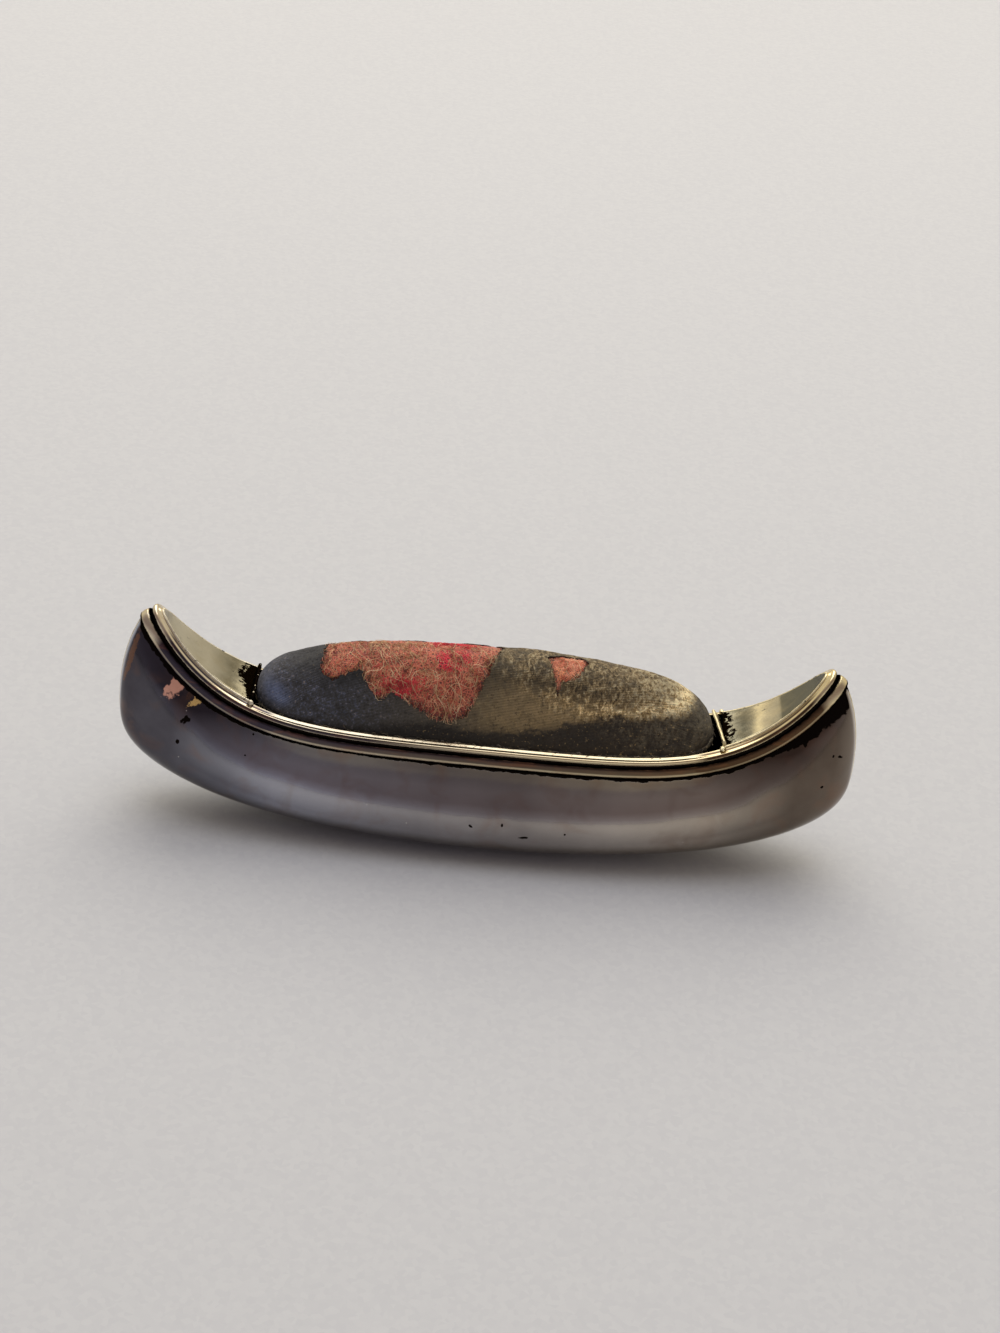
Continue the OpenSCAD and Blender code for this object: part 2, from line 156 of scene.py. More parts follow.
@dataclass(frozen=True)
class Lines:
    """Curves of the canoe and its pad, in millimetres.

    The port side is worked out, and the starboard side is its mirror image.
    """

    # Stems, keel and belly
    stem_x: float = 49.88
    stem_height: float = 16.2
    stem_proud: float = 0.12
    forefoot: float = 11.0
    stem_turn: float = 50.0
    floor_reach: float = 13.0
    belly_reach: float = 12.25
    belly_height: float = 8.1
    flat_depth: float = 0.15
    sheet: float = 0.45
    seam_half: float = 0.2
    # Gunwale, its reeds and the decks
    rim_half: float = 45.1
    rim_y: float = 7.2
    rim_height: float = 16.7
    tip_height: float = 30.0
    rim_width: float = 1.1
    rim_slope: float = 0.25
    band_height: float = 3.0
    reed_relief: float = 0.45
    reed_lap: float = 0.5
    solder_gap: float = 0.03
    deck_start: float = 32.0
    # Pad and what it stands on
    pad_half: float = 31.15
    pad_shift: float = 0.2
    pad_height: float = 11.2
    pad_sink: float = 0.5
    pad_gap: float = 0.12
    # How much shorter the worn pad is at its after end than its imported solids, and the
    # stretch of x over which it comes to that
    pad_worn: float = 0.6
    worn_over: Pair = (25.0, 31.0)
    # How much of its height the worn pad has lost at its fore end
    pad_slump: float = 0.08
    slump_over: Pair = (-20.0, -26.0)
    # How much its after end has lost, where pins have pushed it down
    pad_dip: float = 0.32
    dip_over: Pair = (23.5, 31.0)
    card_top: float = 13.6
    block_top: float = 12.0
    # Powers of the curves: how full each is amidships, and how round at its ends
    rim_fullness: Pair = (2.55, 0.42)
    keel_fullness: Pair = (1.65, 0.52)
    rocker: Pair = (1.9, 0.32)
    sheer_power: float = 5.0
    pad_along: Pair = (2.5, 0.42)
    pad_across: Pair = (2.4, 0.415)
    pad_corner: Pair = (18.0, 0.35)

    @property
    def skin_inset(self) -> float:
        """How far the hull's skin stands in from the edge of the gunwale."""
        return self.reed_relief + self.seam_half

    def taper(self, u: Array, powers: Pair) -> Array:
        """The share of its full width that a line keeps at u, from -1 to 1."""
        return np.maximum(0, 1 - np.abs(u) ** powers[0]) ** powers[1]

    def sheer(self, x: Array) -> Array:
        """Height of the gunwale at x."""
        share = np.abs(x) / self.rim_half
        return self.rim_height + (self.tip_height - self.rim_height) * share**self.sheer_power

    def sheer_slope(self, x: Array) -> Array:
        """Slope of the gunwale at x."""
        rise = (self.tip_height - self.rim_height) * self.sheer_power / self.rim_half
        return np.sign(x) * rise * (np.abs(x) / self.rim_half) ** (self.sheer_power - 1)

    def rim_breadth(self, x: Array) -> Array:
        """Half width over the gunwale at x."""
        return self.rim_y * self.taper(x / self.rim_half, self.rim_fullness)

    def beside_rim(self, u: Array, out: Array, up: Array) -> Array:
        """Points beside the port gunwale.

        Args:
            u: Place along the gunwale, from -1 at the bow to 1 at the stern.
            out: Distance out from its edge, square to it.
            up: Distance up from its top, square to it.

        Returns:
            An array of points, with x, y and z last.
        """
        u, out, up = np.broadcast_arrays(*map(np.asarray, (u, out, up)))
        x = self.rim_half * u
        slope = self.sheer_slope(x)
        run = np.sqrt(1 + slope**2)
        a = np.minimum(np.abs(u), 1 - 1e-7)
        p, q = self.rim_fullness
        narrowing = -self.rim_y * q * p / self.rim_half * np.sign(u)
        narrowing = narrowing * (1 - a**p) ** (q - 1) * a ** (p - 1)
        length = np.hypot(narrowing, run)
        along, side = -narrowing / length, run / length
        return np.stack(
            [
                x + out * along / run - up * slope / run,
                -self.rim_breadth(x) - out * side,
                self.sheer(x) + out * along * slope / run + up / run,
            ],
            -1,
        )

    def section(self, v: Array, inset: float) -> tuple[Array, Array]:
        """Half width and height of the middle section, from keel at v 0 to gunwale at v 1."""
        w = 1 - v
        top = self.rim_height - self.band_height + self.flat_depth
        edge = self.rim_y - self.skin_inset
        y = 3 * w * w * v * self.floor_reach + 3 * w * v * v * self.belly_reach + v**3 * edge
        z = 3 * w * v * v * self.belly_height + v**3 * top
        dy = 3 * w * w * self.floor_reach + 6 * w * v * (self.belly_reach - self.floor_reach)
        dy = dy + 3 * v * v * (edge - self.belly_reach)
        dz = 6 * w * v * self.belly_height + 3 * v * v * (top - self.belly_height)
        n = np.hypot(dy, dz)
        return y - inset * np.where(v < 1, dz / n, 1), z + inset * dy / n * w

    def rocker_height(self, t: Array) -> Array:
        """Height of the keel at a share t of the way out to the stem."""
        return self.stem_height * (
            1 - np.maximum(0, 1 - t ** self.rocker[0]) ** self.rocker[1]
        )

    def stem(self, v: Array, inset: float) -> tuple[Array, Array]:
        """X and height of the stem's edge, from the forefoot at v 0 to the gunwale at v 1."""
        top = self.beside_rim(1.0, -self.skin_inset, -self.band_height)
        foot = 1 - self.forefoot / self.stem_x
        full = math.radians(self.stem_turn)
        rise = np.minimum(1, v * 2) * math.pi / 2
        turn = np.maximum(0, v * 2 - 1) * full
        t = foot + (1 - foot) * np.sin(rise)
        reach = (self.stem_x - top[0]) / (1 - math.cos(full))
        climb = (top[2] + self.flat_depth - self.stem_height) / math.sin(full)
        low = v <= 0.5
        x = np.where(low, t * self.stem_x, self.stem_x - reach * (1 - np.cos(turn)))
        z = np.where(low, self.rocker_height(t), self.stem_height + climb * np.sin(turn))
        lean = np.where(low, math.pi / 2 - rise, -turn)
        return x - inset * np.cos(lean), z + inset * np.maximum(0, np.sin(lean))

    def skin(self, u: Array, v: Array, inset: float) -> Array:
        """Points of the port half shell.

        Args:
            u: Place along the hull, from -1 at the bow to 1 at the stern.
            v: Place up it, from 0 at the keel to 1 under the reeds.
            inset: Distance in from the outside of the sheet.

        Returns:
            An array of points, with x, y and z last.
        """
        u, v = np.broadcast_arrays(np.asarray(u, float), np.asarray(v, float))

        def free(v_at: Array) -> Array:
            """Points of the shell before its upper edge is drawn to the gunwale."""
            y, z = self.section(v_at, inset)
            end_x, end_z = self.stem(v_at, inset)
            p = self.keel_fullness[0] + (self.rim_fullness[0] - self.keel_fullness[0]) * v_at
            q = self.keel_fullness[1] + (self.rim_fullness[1] - self.keel_fullness[1]) * v_at
            foot = 1 - self.forefoot / self.stem_x
            keel = self.rocker_height(np.abs(u) * foot) / self.rocker_height(foot)
            rise = (1 - v_at) * keel + v_at * np.abs(u) ** self.sheer_power
            narrow = np.maximum(0, 1 - np.abs(u) ** p) ** q
            height = z + (end_z - z) * rise - self.flat_depth
            return np.stack([u * end_x, -y * narrow, height], -1)

        edge = self.beside_rim(u, -self.skin_inset - inset, -self.band_height)
        pull = np.maximum(0, v * 2 - 1)
        pull = (pull * pull * (3 - 2 * pull))[..., None]
        points = free(v) + pull * (edge - free(np.ones_like(v)))
        points[..., 1] -= self.seam_half
        points[..., 2] = np.maximum(points[..., 2], inset)
        return points

    def lip(self, u: Array, inset: float) -> Array:
        """The edge of the half shell, where it stands up behind the reeds."""
        up = -self.reed_lap - self.solder_gap
        return self.beside_rim(u, -self.skin_inset - inset, up) - [0, self.seam_half, 0]

    def foot_level(self, x: Array) -> Array:
        """Height of the pad's foot at x."""
        return self.sheer(x) - self.pad_sink

    def foot_breadth(self, x: Array, inset: float) -> Array:
        """Half width of the pad's foot at x, before its corners are rounded off."""
        return np.maximum(0, self.rim_breadth(x) - self.rim_width - self.pad_gap - inset)

    def pad_reach(self, x: Array, inset: float) -> Array:
        """How far out along the pad x is, from 0 at its middle to 1 at its ends."""
        return np.minimum(1, np.abs(x) / (self.pad_half - inset))

    def pad_breadth(self, x: Array, inset: float) -> Array:
        """Half width of the pad's foot at x, with its corners rounded off."""
        corner = self.taper(self.pad_reach(x, inset), self.pad_corner)
        return self.foot_breadth(x, inset) * corner

    def pad_top(self, x: Array, y: Array, inset: float) -> Array:
        """Height of the pad over a point of its plan, drawn in all round by an inset."""
        u = self.pad_reach(x, inset)
        t = np.minimum(1, np.abs(y) / np.maximum(self.pad_breadth(x, inset), 1e-9))
        crown = (self.pad_height - inset) * self.taper(u, self.pad_along)
        return self.foot_level(x) + crown * self.taper(t, self.pad_across)

    def pad_sheet(self, along: int, across: int, inset: float) -> Array:
        """The worn pad's crown as a grid of points that reaches its foot all round.

        Args:
            along: Number of cells along the pad.
            across: Number of cells across it.
            inset: Distance in from the outside of the cover.

        Returns:
            Points as an array of along + 1 by across + 1 by 3.
        """

        def spaced(count: int, power: float) -> Array:
            """Shares from -1 to 1 that crowd together towards the foot."""
            s = np.linspace(-1, 1, count + 1)
            return np.sign(s) * (1 - (1 - np.abs(s)) ** power)

        a, b = np.meshgrid(spaced(along, 1.9), spaced(across, 2.0), indexing="ij")
        m = np.maximum(np.maximum(np.abs(a), np.abs(b)), 1e-9)

        def inside(share: Array) -> Array:
            """Whether a share of the way out lies within the rounded corners."""
            full = (share * np.abs(a) / m) ** self.pad_corner[0]
            return full + (share * np.abs(b) / m) ** (1 / self.pad_corner[1]) < 1

        # Rows near the foot bend round with its corners, and those further in less
        corner = bisected(np.full_like(a, 0.5), np.ones_like(a), inside)
        scale = 1 + (corner - 1) * m**4
        x = (self.pad_half - inset) * a * scale
        y = self.foot_breadth(x, inset) * b * scale
        z = self.pad_top(x, y, inset)
        worn = self.pad_worn * ramp(x, *self.worn_over) ** 2
        lost = self.pad_slump * ramp(x, *self.slump_over)
        lost = lost + self.pad_dip * ramp(x, *self.dip_over) ** 1.6
        z = z - (z - self.foot_level(x)) * lost
        return np.stack([x - self.pad_shift - worn, y, z], -1)


@dataclass(frozen=True)
class Tear:
    """A hole worn through the cover, drawn square to an axis tilted towards port.

    Args:
        outline: Corners as x and the distance up the tilted side, from the gunwale's height.
        tilt: Tilt of the axis, in degrees.
        level: Height where the outline's second number is 0.
        far: How far the hole reaches past the crest, in millimetres.
    """

    outline: tuple[Pair, ...]
    tilt: float = 35.0
    level: float = 16.7
    far: float = 3.0

    def up(self, y: Array, z: Array) -> Array:
        """Distance up the tilted side, at y and z."""
        tilt = math.radians(self.tilt)
        return y * math.cos(tilt) + (z - self.level) * math.sin(tilt)

    def far_edge(self, x: Array) -> Array:
        """Y of the hole's uneven far edge, beyond the crest."""
        return self.far + 0.45 * np.sin(x * 0.8 + 1.0) + 0.25 * np.sin(x * 2.1)

    def depth(self, x: Array, up: Array) -> Array:
        """How far inside the outline points of the chart are, in mm, and below 0 outside."""
        inside = np.zeros(np.shape(x), bool)
        nearest = np.full(np.shape(x), 1e9)
        corners = np.array(self.outline)
        for (ax, ay), (bx, by) in zip(corners, np.roll(corners, -1, 0)):
            crosses = (ay > up) != (by > up)
            at = ax + (up - ay) * (bx - ax) / ((by - ay) if by != ay else 1e-9)
            inside ^= crosses & (x < at)
            dx, dy = bx - ax, by - ay
            share = np.clip(((x - ax) * dx + (up - ay) * dy) / (dx**2 + dy**2), 0, 1)
            gap = np.hypot(x - ax - share * dx, up - ay - share * dy)
            nearest = np.minimum(nearest, gap)
        return np.where(inside, nearest, -nearest)

    def depth_at(self, points: Array) -> Array:
        """How far inside the hole points of the pad are, in mm, and below 0 outside."""
        x, y, z = np.moveaxis(points, -1, 0)
        return np.minimum(self.depth(x, self.up(y, z)), self.far_edge(x) - y)

    def scatter(self, rng: np.random.Generator, count: int, margin: float) -> Array:
        """Random places of the chart that lie inside the outline by a margin."""
        corners = np.array(self.outline)
        low, high = corners.min(0), corners.max(0)
        found: list[Array] = []
        while sum(map(len, found)) < count:
            tries = rng.uniform(low, high, (count * 3, 2))
            found.append(tries[self.depth(*tries.T) > margin])
        return np.concatenate(found)[:count]


LARGE_TEAR = Tear(
    (
        (-22.8, 1.6), (-21.0, 0.5), (-17.4, 1.9), (-14.6, -1.4), (-13.1, -0.1),
        (-7.9, -2.5), (-4.9, -2.8), (-2.9, -2.2), (-1.1, 0.8), (0.7, 5.3),
        (1.6, 7.6), (-1.5, 8.9), (-4.4, 8.4), (-8.0, 9.2), (-10.6, 8.5), (-14.0, 8.9),
        (-16.8, 8.0), (-19.5, 7.8), (-22.4, 6.3),
    )
)  # fmt: skip
SMALL_TEAR = Tear(
    (
        (7.1, 6.1), (7.9, 4.2), (8.8, 0.8), (9.5, 2.4),
        (11.6, 3.1), (12.7, 5.8), (12.0, 6.9), (9.2, 6.9),
    )
)  # fmt: skip


# ---- Meshes ----


def as_faces(rows: Array) -> Faces:
    """Faces from an array with the numbers of each face's points last."""
    return [tuple(face) for face in rows.reshape(-1, rows.shape[-1]).tolist()]


def strip_faces(rows: int, columns: int, start: int = 0, loop: bool = False) -> Faces:
    """Faces between rows of points.

    Args:
        rows: Number of rows.
        columns: Number of points in each.
        start: Number of the first point.
        loop: Whether each row closes on itself.

    Returns:
        Four-sided faces.
    """
    across = columns if loop else columns - 1
    i, k = np.meshgrid(np.arange(rows - 1), np.arange(across), indexing="ij")
    a = start + i * columns + k
    b = start + i * columns + (k + 1) % columns
    return as_faces(np.stack([a, b, b + columns, a + columns], -1))


def enclosed(points: Array, faces: Faces) -> float:
    """Volume inside faces, which is below 0 if they face inwards."""
    total = 0.0
    for width in {len(f) for f in faces}:
        corners = points[np.array([f for f in faces if len(f) == width])]
        for k in range(1, width - 1):
            cross = np.cross(corners[:, k], corners[:, k + 1])
            total += float((corners[:, 0] * cross).sum()) / 6
    return total


def read(
    items: bpy.types.bpy_prop_collection, name: str, width: int, kind: type = float
) -> Array:
    """A property of every item of a mesh.

    Args:
        items: The points, corners or others of the mesh.
        name: The property's name.
        width: How many numbers each item has.
        kind: The type of the numbers.

    Returns:
        An array with a row for each item.
    """
    flat = np.zeros(len(items) * width, kind)
    items.foreach_get(name, flat)
    return flat.reshape(-1, width)


def placed(name: str, data: bpy.types.ID) -> Piece:
    """Puts a mesh, lamp or camera into the scene."""
    made = bpy.data.objects.new(name, data)
    bpy.context.scene.collection.objects.link(made)
    return made


def applied(piece: Piece) -> bpy.types.Mesh:
    """The mesh that a piece's modifiers make of it. They are then taken off."""
    ready = piece.evaluated_get(bpy.context.evaluated_depsgraph_get())
    mesh = bpy.data.meshes.new_from_object(ready)
    piece.modifiers.clear()
    return mesh


def make_piece(
    name: str,
    points: Array,
    faces: Faces,
    values: dict[str, Array] | None = None,
    chart: Array | None = None,
    crease: float = 50.0,
) -> Piece:
    """Makes a smooth-shaded mesh object.

    Args:
        name: Name of the piece.
        points: Points in millimetres.
        faces: Faces by the numbers of their points.
        values: Named numbers, one for each point, that its finish reads.
        chart: Two numbers for each point, kept as its UV map.
        crease: Angle in degrees above which an edge stays sharp.

    Returns:
        The object, linked into the scene.
    """
    flat = points.reshape(-1, 3)
    if enclosed(flat, faces) < 0:
        faces = [f[::-1] for f in faces]
    mesh = bpy.data.meshes.new(name)
    mesh.from_pydata((flat * MM).tolist(), [], faces)
    for label, data in (values or {}).items():
        layer = mesh.attributes.new(label, "FLOAT", "POINT")
        layer.data.foreach_set("value", np.asarray(data, np.float32).ravel())
    if chart is not None:
        corners = read(mesh.loops, "vertex_index", 1, np.int32)
        uv = mesh.uv_layers.new(name="chart")
        uv.data.foreach_set("uv", chart.reshape(-1, 2)[corners].astype(np.float32).ravel())
    mesh.validate()
    mesh.shade_smooth()
    mesh.set_sharp_from_angle(angle=math.radians(crease))
    return placed(name, mesh)


def finish_piece(
    piece: Piece, slot: str, nodes: tuple[str, ...], *finishes: "Finish"
) -> Piece:
    """Dresses a piece, fixes it to the canoe and hides the imported solids it stands for.

    Args:
        piece: The piece, in place.
        slot: The record's material slot; not used.
        nodes: CAD nodes that it stands for.
        finishes: Its finishes, in the order of its material slots.

    Returns:
        The same piece.
    """
    for each in finishes:
        piece.data.materials.append(each.material())
    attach(piece, "root")
    if nodes:
        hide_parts(*nodes)
    return piece


def sweep(rings: Array, closed: bool = False) -> tuple[Array, Faces]:
    """A solid through rings of as many points each.

    Args:
        rings: An array of rings by points by 3.
        closed: Whether the last ring joins the first, which leaves no caps.

    Returns:
        Points and faces.
    """
    count, width = rings.shape[:2]
    faces = strip_faces(count, width, loop=True)
    if closed:
        last = (count - 1) * width
        faces += [
            (last + k, last + (k + 1) % width, (k + 1) % width, k) for k in range(width)
        ]
    else:
        half = width // 2
        for base, flip in ((0, True), ((count - 1) * width, False)):
            # Each cap is laid in strips from side to side, so that it has no long fan
            for k in range(half - 1 if width % 2 == 0 else half):
                a, b = base + k, base + k + 1
                c, d = base + width - 2 - k, base + width - 1 - k
                cap = (a, b, c, d) if b < c else (a, b, d)
                faces.append(cap[::-1] if flip else cap)
    return rings.reshape(-1, 3), faces


def strands(paths: Array, radii: Array, sides: int = 3) -> tuple[Array, Faces]:
    """Thin closed tubes along many paths of as many points each.

    Args:
        paths: An array of paths by points by 3.
        radii: Radius of each path, or of each of its points.
        sides: Number of sides of each tube.

    Returns:
        Points and faces.
    """
    count, length = paths.shape[:2]
    radii = np.broadcast_to(np.asarray(radii).reshape(count, -1), (count, length))
    way = unit(np.gradient(paths, axis=1))
    steep = np.abs(way[..., 2:]).max(1, keepdims=True) > 0.9
    guide = np.where(steep, [1.0, 0.0, 0.0], [0.0, 0.0, 1.0])
    side = unit(np.cross(way, np.broadcast_to(guide, way.shape)))
    up = np.cross(side, way)
    turn = np.arange(sides) * 2 * math.pi / sides
    ring = side[:, :, None] * np.cos(turn)[:, None] + up[:, :, None] * np.sin(turn)[:, None]
    points = paths[:, :, None] + ring * radii[:, :, None, None]
    tube = np.array(strip_faces(length, sides, loop=True))
    first = np.arange(sides)
    caps = np.stack([first[::-1], first + (length - 1) * sides])
    starts = (np.arange(count) * length * sides)[:, None, None]
    return points.reshape(-1, 3), as_faces(tube + starts) + as_faces(caps + starts)


# ---- Finishes ----


RGB = {"data_type": "RGBA"}
SMOOTH = {"interpolation_type": "SMOOTHSTEP"}


def linear(colour: str) -> tuple[float, float, float, float]:
    """An sRGB hex colour as linear red, green, blue and alpha."""
    parts = (int(colour[i : i + 2], 16) / 255 for i in (1, 3, 5))
    return *(c / 12.92 if c <= 0.04045 else ((c + 0.055) / 1.055) ** 2.4 for c in parts), 1.0


def feed(tree: Tree, node: Node, inputs: dict | tuple) -> None:
    """Sets or links a node's sockets.

    Args:
        tree: The node tree.
        node: The node.
        inputs: Values for its open sockets, by name or in order. Each is a number, a
            vector, a hex colour, an output socket, or a node for its first open output.
    """
    ready = [s for s in node.inputs if s.enabled]
    if isinstance(inputs, dict):
        names = [s.name for s in ready]
        pairs = [(ready[names.index(name)], value) for name, value in inputs.items()]
    else:
        pairs = list(zip(ready, inputs))
    for socket, value in pairs:
        if isinstance(value, Node):
            value = next(s for s in value.outputs if s.enabled)
        if isinstance(value, bpy.types.NodeSocket):
            tree.links.new(value, socket)
        else:
            socket.default_value = linear(value) if isinstance(value, str) else value


def add(tree: Tree, kind: str, inputs: dict | tuple = (), **settings) -> Node:
    """Adds a shader node with its settings and links.

    Args:
        tree: The node tree.
        kind: The node's type, without the words it shares with the others.
        inputs: Its sockets, as feed takes them.
        settings: Its properties. stops gives a colour ramp's places and hex colours.

    Returns:
        The new node.
    """
    made = tree.nodes.new("ShaderNode" + kind)
    stops = settings.pop("stops", ())
    for key, value in settings.items():
        setattr(made, key, value)
    for _ in stops[2:]:
        made.color_ramp.elements.new(1.0)
    for k, (place, colour) in enumerate(stops):
        element = made.color_ramp.elements[k]
        element.position, element.color = place, linear(colour)
    feed(tree, made, inputs)
    return made


def layered(tree: Tree, colour: Node | str, *layers: tuple[Node, Node | str]) -> Node:
    """Colours laid over a first one, each where its mask is 1."""
    for mask, over in layers:
        colour = add(tree, "Mix", (mask, colour, over), **RGB)
    return colour


def summed(tree: Tree, value: Node, *shares: tuple[Node, float]) -> Node:
    """A number with shares of others added to it."""
    for other, share in shares:
        value = add(tree, "Math", (other, share, value), operation="MULTIPLY_ADD")
    return value


def product(tree: Tree, value: Node, *others: Node) -> Node:
    """Numbers multiplied together."""
    for other in others:
        value = add(tree, "Math", (value, other), operation="MULTIPLY")
    return value


def away_from(
    tree: Tree, at: Node, middle: Triple, half: Triple, turn: float = 0.0
) -> Node:
    """Distance from the middle of an ellipsoid, which is 1 at its surface.

    Args:
        tree: The node tree.
        at: The coordinates.
        middle: Its middle.
        half: Its half sizes.
        turn: How far its after end dips, in degrees.

    Returns:
        The distance.
    """
    sizes = (at, middle, (0, -math.radians(turn), 0), half)
    inside = add(tree, "Mapping", sizes, vector_type="TEXTURE")
    return add(tree, "VectorMath", (inside,), operation="LENGTH")


def relief(tree: Tree, *layers: tuple[Node, float]) -> Node:
    """Bumps laid one over another, from heights and how many millimetres each stands for."""
    top = None
    for height, depth in layers:
        inputs = {"Height": height, "Distance": depth * MM, "Strength": 1.0}
        top = add(tree, "Bump", inputs | ({"Normal": top} if top else {}))
    return top


@dataclass(frozen=True)
class Finish:
    """A surface: what it is made of and how that was worked."""

    name: str

    def material(self) -> bpy.types.Material:
        """Its material, made the first time it is asked for."""
        found = bpy.data.materials.get(self.name)
        if found:
            return found
        made = bpy.data.materials.new(self.name)
        made.use_nodes = True
        tree = made.node_tree
        place = add(tree, "TexCoord").outputs["Object"]
        # Object coordinates are metres, and every pattern below is set out in millimetres
        mm = add(tree, "Mapping", {"Vector": place, "Scale": (1 / MM,) * 3})
        self.paint(tree, tree.nodes["Principled BSDF"], mm)
        return made

    def paint(self, tree: Tree, shader: Node, mm: Node) -> None:
        """Adds the finish's own nodes, from coordinates in millimetres to the shader."""
        raise NotImplementedError


@dataclass(frozen=True)
class Mark:
    """A stain, a pit or a painted reflection on the side of the hull.

    Args:
        x: X of its middle in millimetres.
        z: Height of its middle.
        length: How long it is.
        width: How wide it is.
        turn: How far its after end dips, in degrees.
        colour: Its colour.
    """

    x: float
    z: float
    length: float
    width: float
    turn: float = 0.0
    colour: str = "#16110E"


@dataclass(frozen=True)
class TarnishedSilver(Finish):
    """Silver sheet or wire, polished bright and then left to tarnish.

    It gives the eye a soft mirror: sharp reflections under a grey-brown film, straw and
    copper tints where the film is thin, on the reeds partly painted reflection of warm
    things nearby, and black where it is thick, in grooves and corners that no cloth
    reaches. The film turns from a purple grey at the bow to a warmer one at the stern, as
    a film of sulphide does when its thickness changes.
    """

    bare: str = "#B9B3AB"
    bare_aft: str = "#B9B3AB"
    bloom_fore: str = "#8E8580"
    bloom_aft: str = "#8E8580"
    tint: str = "#A07C52"
    black: str = "#15100D"
    # How thick the film is on the whole, and how strong its straw and copper tints are
    bloom_share: float = 0.6
    tint_share: float = 0.25
    roughness: float = 0.12
    # Size of its clouds
    cloud: float = 9.0
    # Size of the lobes along the edge of the blackened zone, and how far they reach
    lobe: float = 1.9
    ragged: float = 0.5
    # Depth of its dimples
    dimple: float = 0.03
    # How much longer patterns are along the canoe than across, as drawing leaves them
    drawn: float = 1.0
    dust: float = 0.0
    marks: tuple[Mark, ...] = ()
    reflections_and_stains: tuple[Mark, ...] = ()

    def near(self, tree: Tree, mm: Node, mark: Mark, wander: Node) -> Node:
        """A mask that is 1 inside a mark, right through the hull, and fades over its edge."""
        half = (mark.length / 2, 1e4, mark.width / 2)
        away = away_from(tree, mm, (mark.x, 0, mark.z), half, mark.turn)
        ragged = add(tree, "Math", (away, wander), operation="ADD")
        return add(tree, "MapRange", (ragged, 1.15, 0.85), **SMOOTH)

    def paint(self, tree: Tree, shader: Node, mm: Node) -> None:
        """Bare metal, film, tint and black, with the roughness and dimples of each."""
        along = add(tree, "SeparateXYZ", (mm,))
        pulled = add(tree, "Mapping", {"Vector": mm, "Scale": (1 / self.drawn, 1, 1)})
        clouds = add(tree, "TexNoise", (pulled, 1 / self.cloud, 4.0))
        # Polishing cloth and fingers leave marks about 0.7 mm apart
        fine = add(tree, "TexNoise", (pulled, 1 / 0.7, 5.0))
        share = self.bloom_share
        patchy = add(tree, "MapRange", (clouds, 0.35, 0.65, share * 0.5, share * 1.4))
        # The mesh says where its film is thicker than elsewhere
        film = add(tree, "Attribute", attribute_name="film").outputs["Fac"]
        filmed = add(tree, "Math", (film, patchy), operation="ADD", use_clamp=True)
        aft = add(tree, "MapRange", (along, -30.0, 30.0))
        bloom = layered(tree, self.bloom_fore, (aft, self.bloom_aft))
        bare = layered(tree, self.bare, (aft, self.bare_aft))
        # Straw and copper tints where the film is thin; on the reeds the copper is partly
        # painted reflection
        straw = add(tree, "TexNoise", (pulled, 1 / (self.cloud * 0.45), 3.0, 0.5, 2.0, 0.6))
        tint_mask = add(tree, "MapRange", (straw, 0.5, 0.72, 0.0, self.tint_share))
        colour = layered(tree, bare, (filmed, bloom), (tint_mask, self.tint))
        wander = add(tree, "MapRange", (fine, 0.3, 0.7, -0.4, 0.4))
        # Painted reflections and stains lie on the metal as a matt scale
        metallic = 1.0
        for laid_patch in self.reflections_and_stains:
            mask = self.near(tree, mm, laid_patch, wander)
            colour = layered(tree, colour, (mask, laid_patch.colour))
            metallic = add(tree, "MapRange", (mask, 0.0, 1.0, metallic, 0.5))
        # The mesh says how many millimetres inside the blackened zone each point lies
        oxide = add(tree, "Attribute", attribute_name="oxide").outputs["Fac"]
        lobes = add(tree, "TexNoise", (mm, 1 / self.lobe, 5.0, 0.66, 2.0, 0.4))
        wave = add(tree, "MapRange", (lobes, 0.28, 0.72, -self.ragged, self.ragged))
        edge = add(tree, "Math", (oxide, wave), operation="ADD")
        black = add(tree, "MapRange", (edge, -0.08, 0.1), **SMOOTH)
        for mark in self.marks:
            mask = self.near(tree, mm, mark, wander)
            black = add(tree, "Math", (black, mask), operation="MAXIMUM")
        # Motes of dust about 0.15 mm across lie a few millimetres apart
        motes = add(tree, "TexVoronoi", (mm, 1 / 3.1))
        mote = add(tree, "MapRange", (motes, 0.035, 0.02, 0.0, self.dust))
        colour = layered(tree, colour, (black, self.black), (mote, "#D9D4CC"))
        # A black film stays dark at a glancing view too
        glance = layered(tree, "#FFFFFF", (black, "#120E0A"))
        polish = (fine, 0.3, 0.75, self.roughness * 0.75, self.roughness * 1.5)
        dull = summed(tree, add(tree, "MapRange", polish), (black, 0.25))
        # The sheet keeps faint dimples about 4 mm across from the stamp and from knocks
        dimples = add(tree, "TexNoise", (mm, 1 / 4.0, 2.0))
        # Hair scratches run mostly along the canoe; real ones are a few microns wide
        brushed = add(tree, "Mapping", {"Vector": mm, "Scale": (0.12, 1.0, 1.0)})
        hairs = add(tree, "TexNoise", (brushed, 1 / 0.12, 3.0))
        bumps = relief(tree, (dimples, self.dimple), (hairs, 0.0015), (black, -0.01))
        finish = {"Base Color": colour, "Metallic": metallic, "Roughness": dull}
        feed(tree, shader, finish | {"Specular Tint": glance, "Normal": bumps})


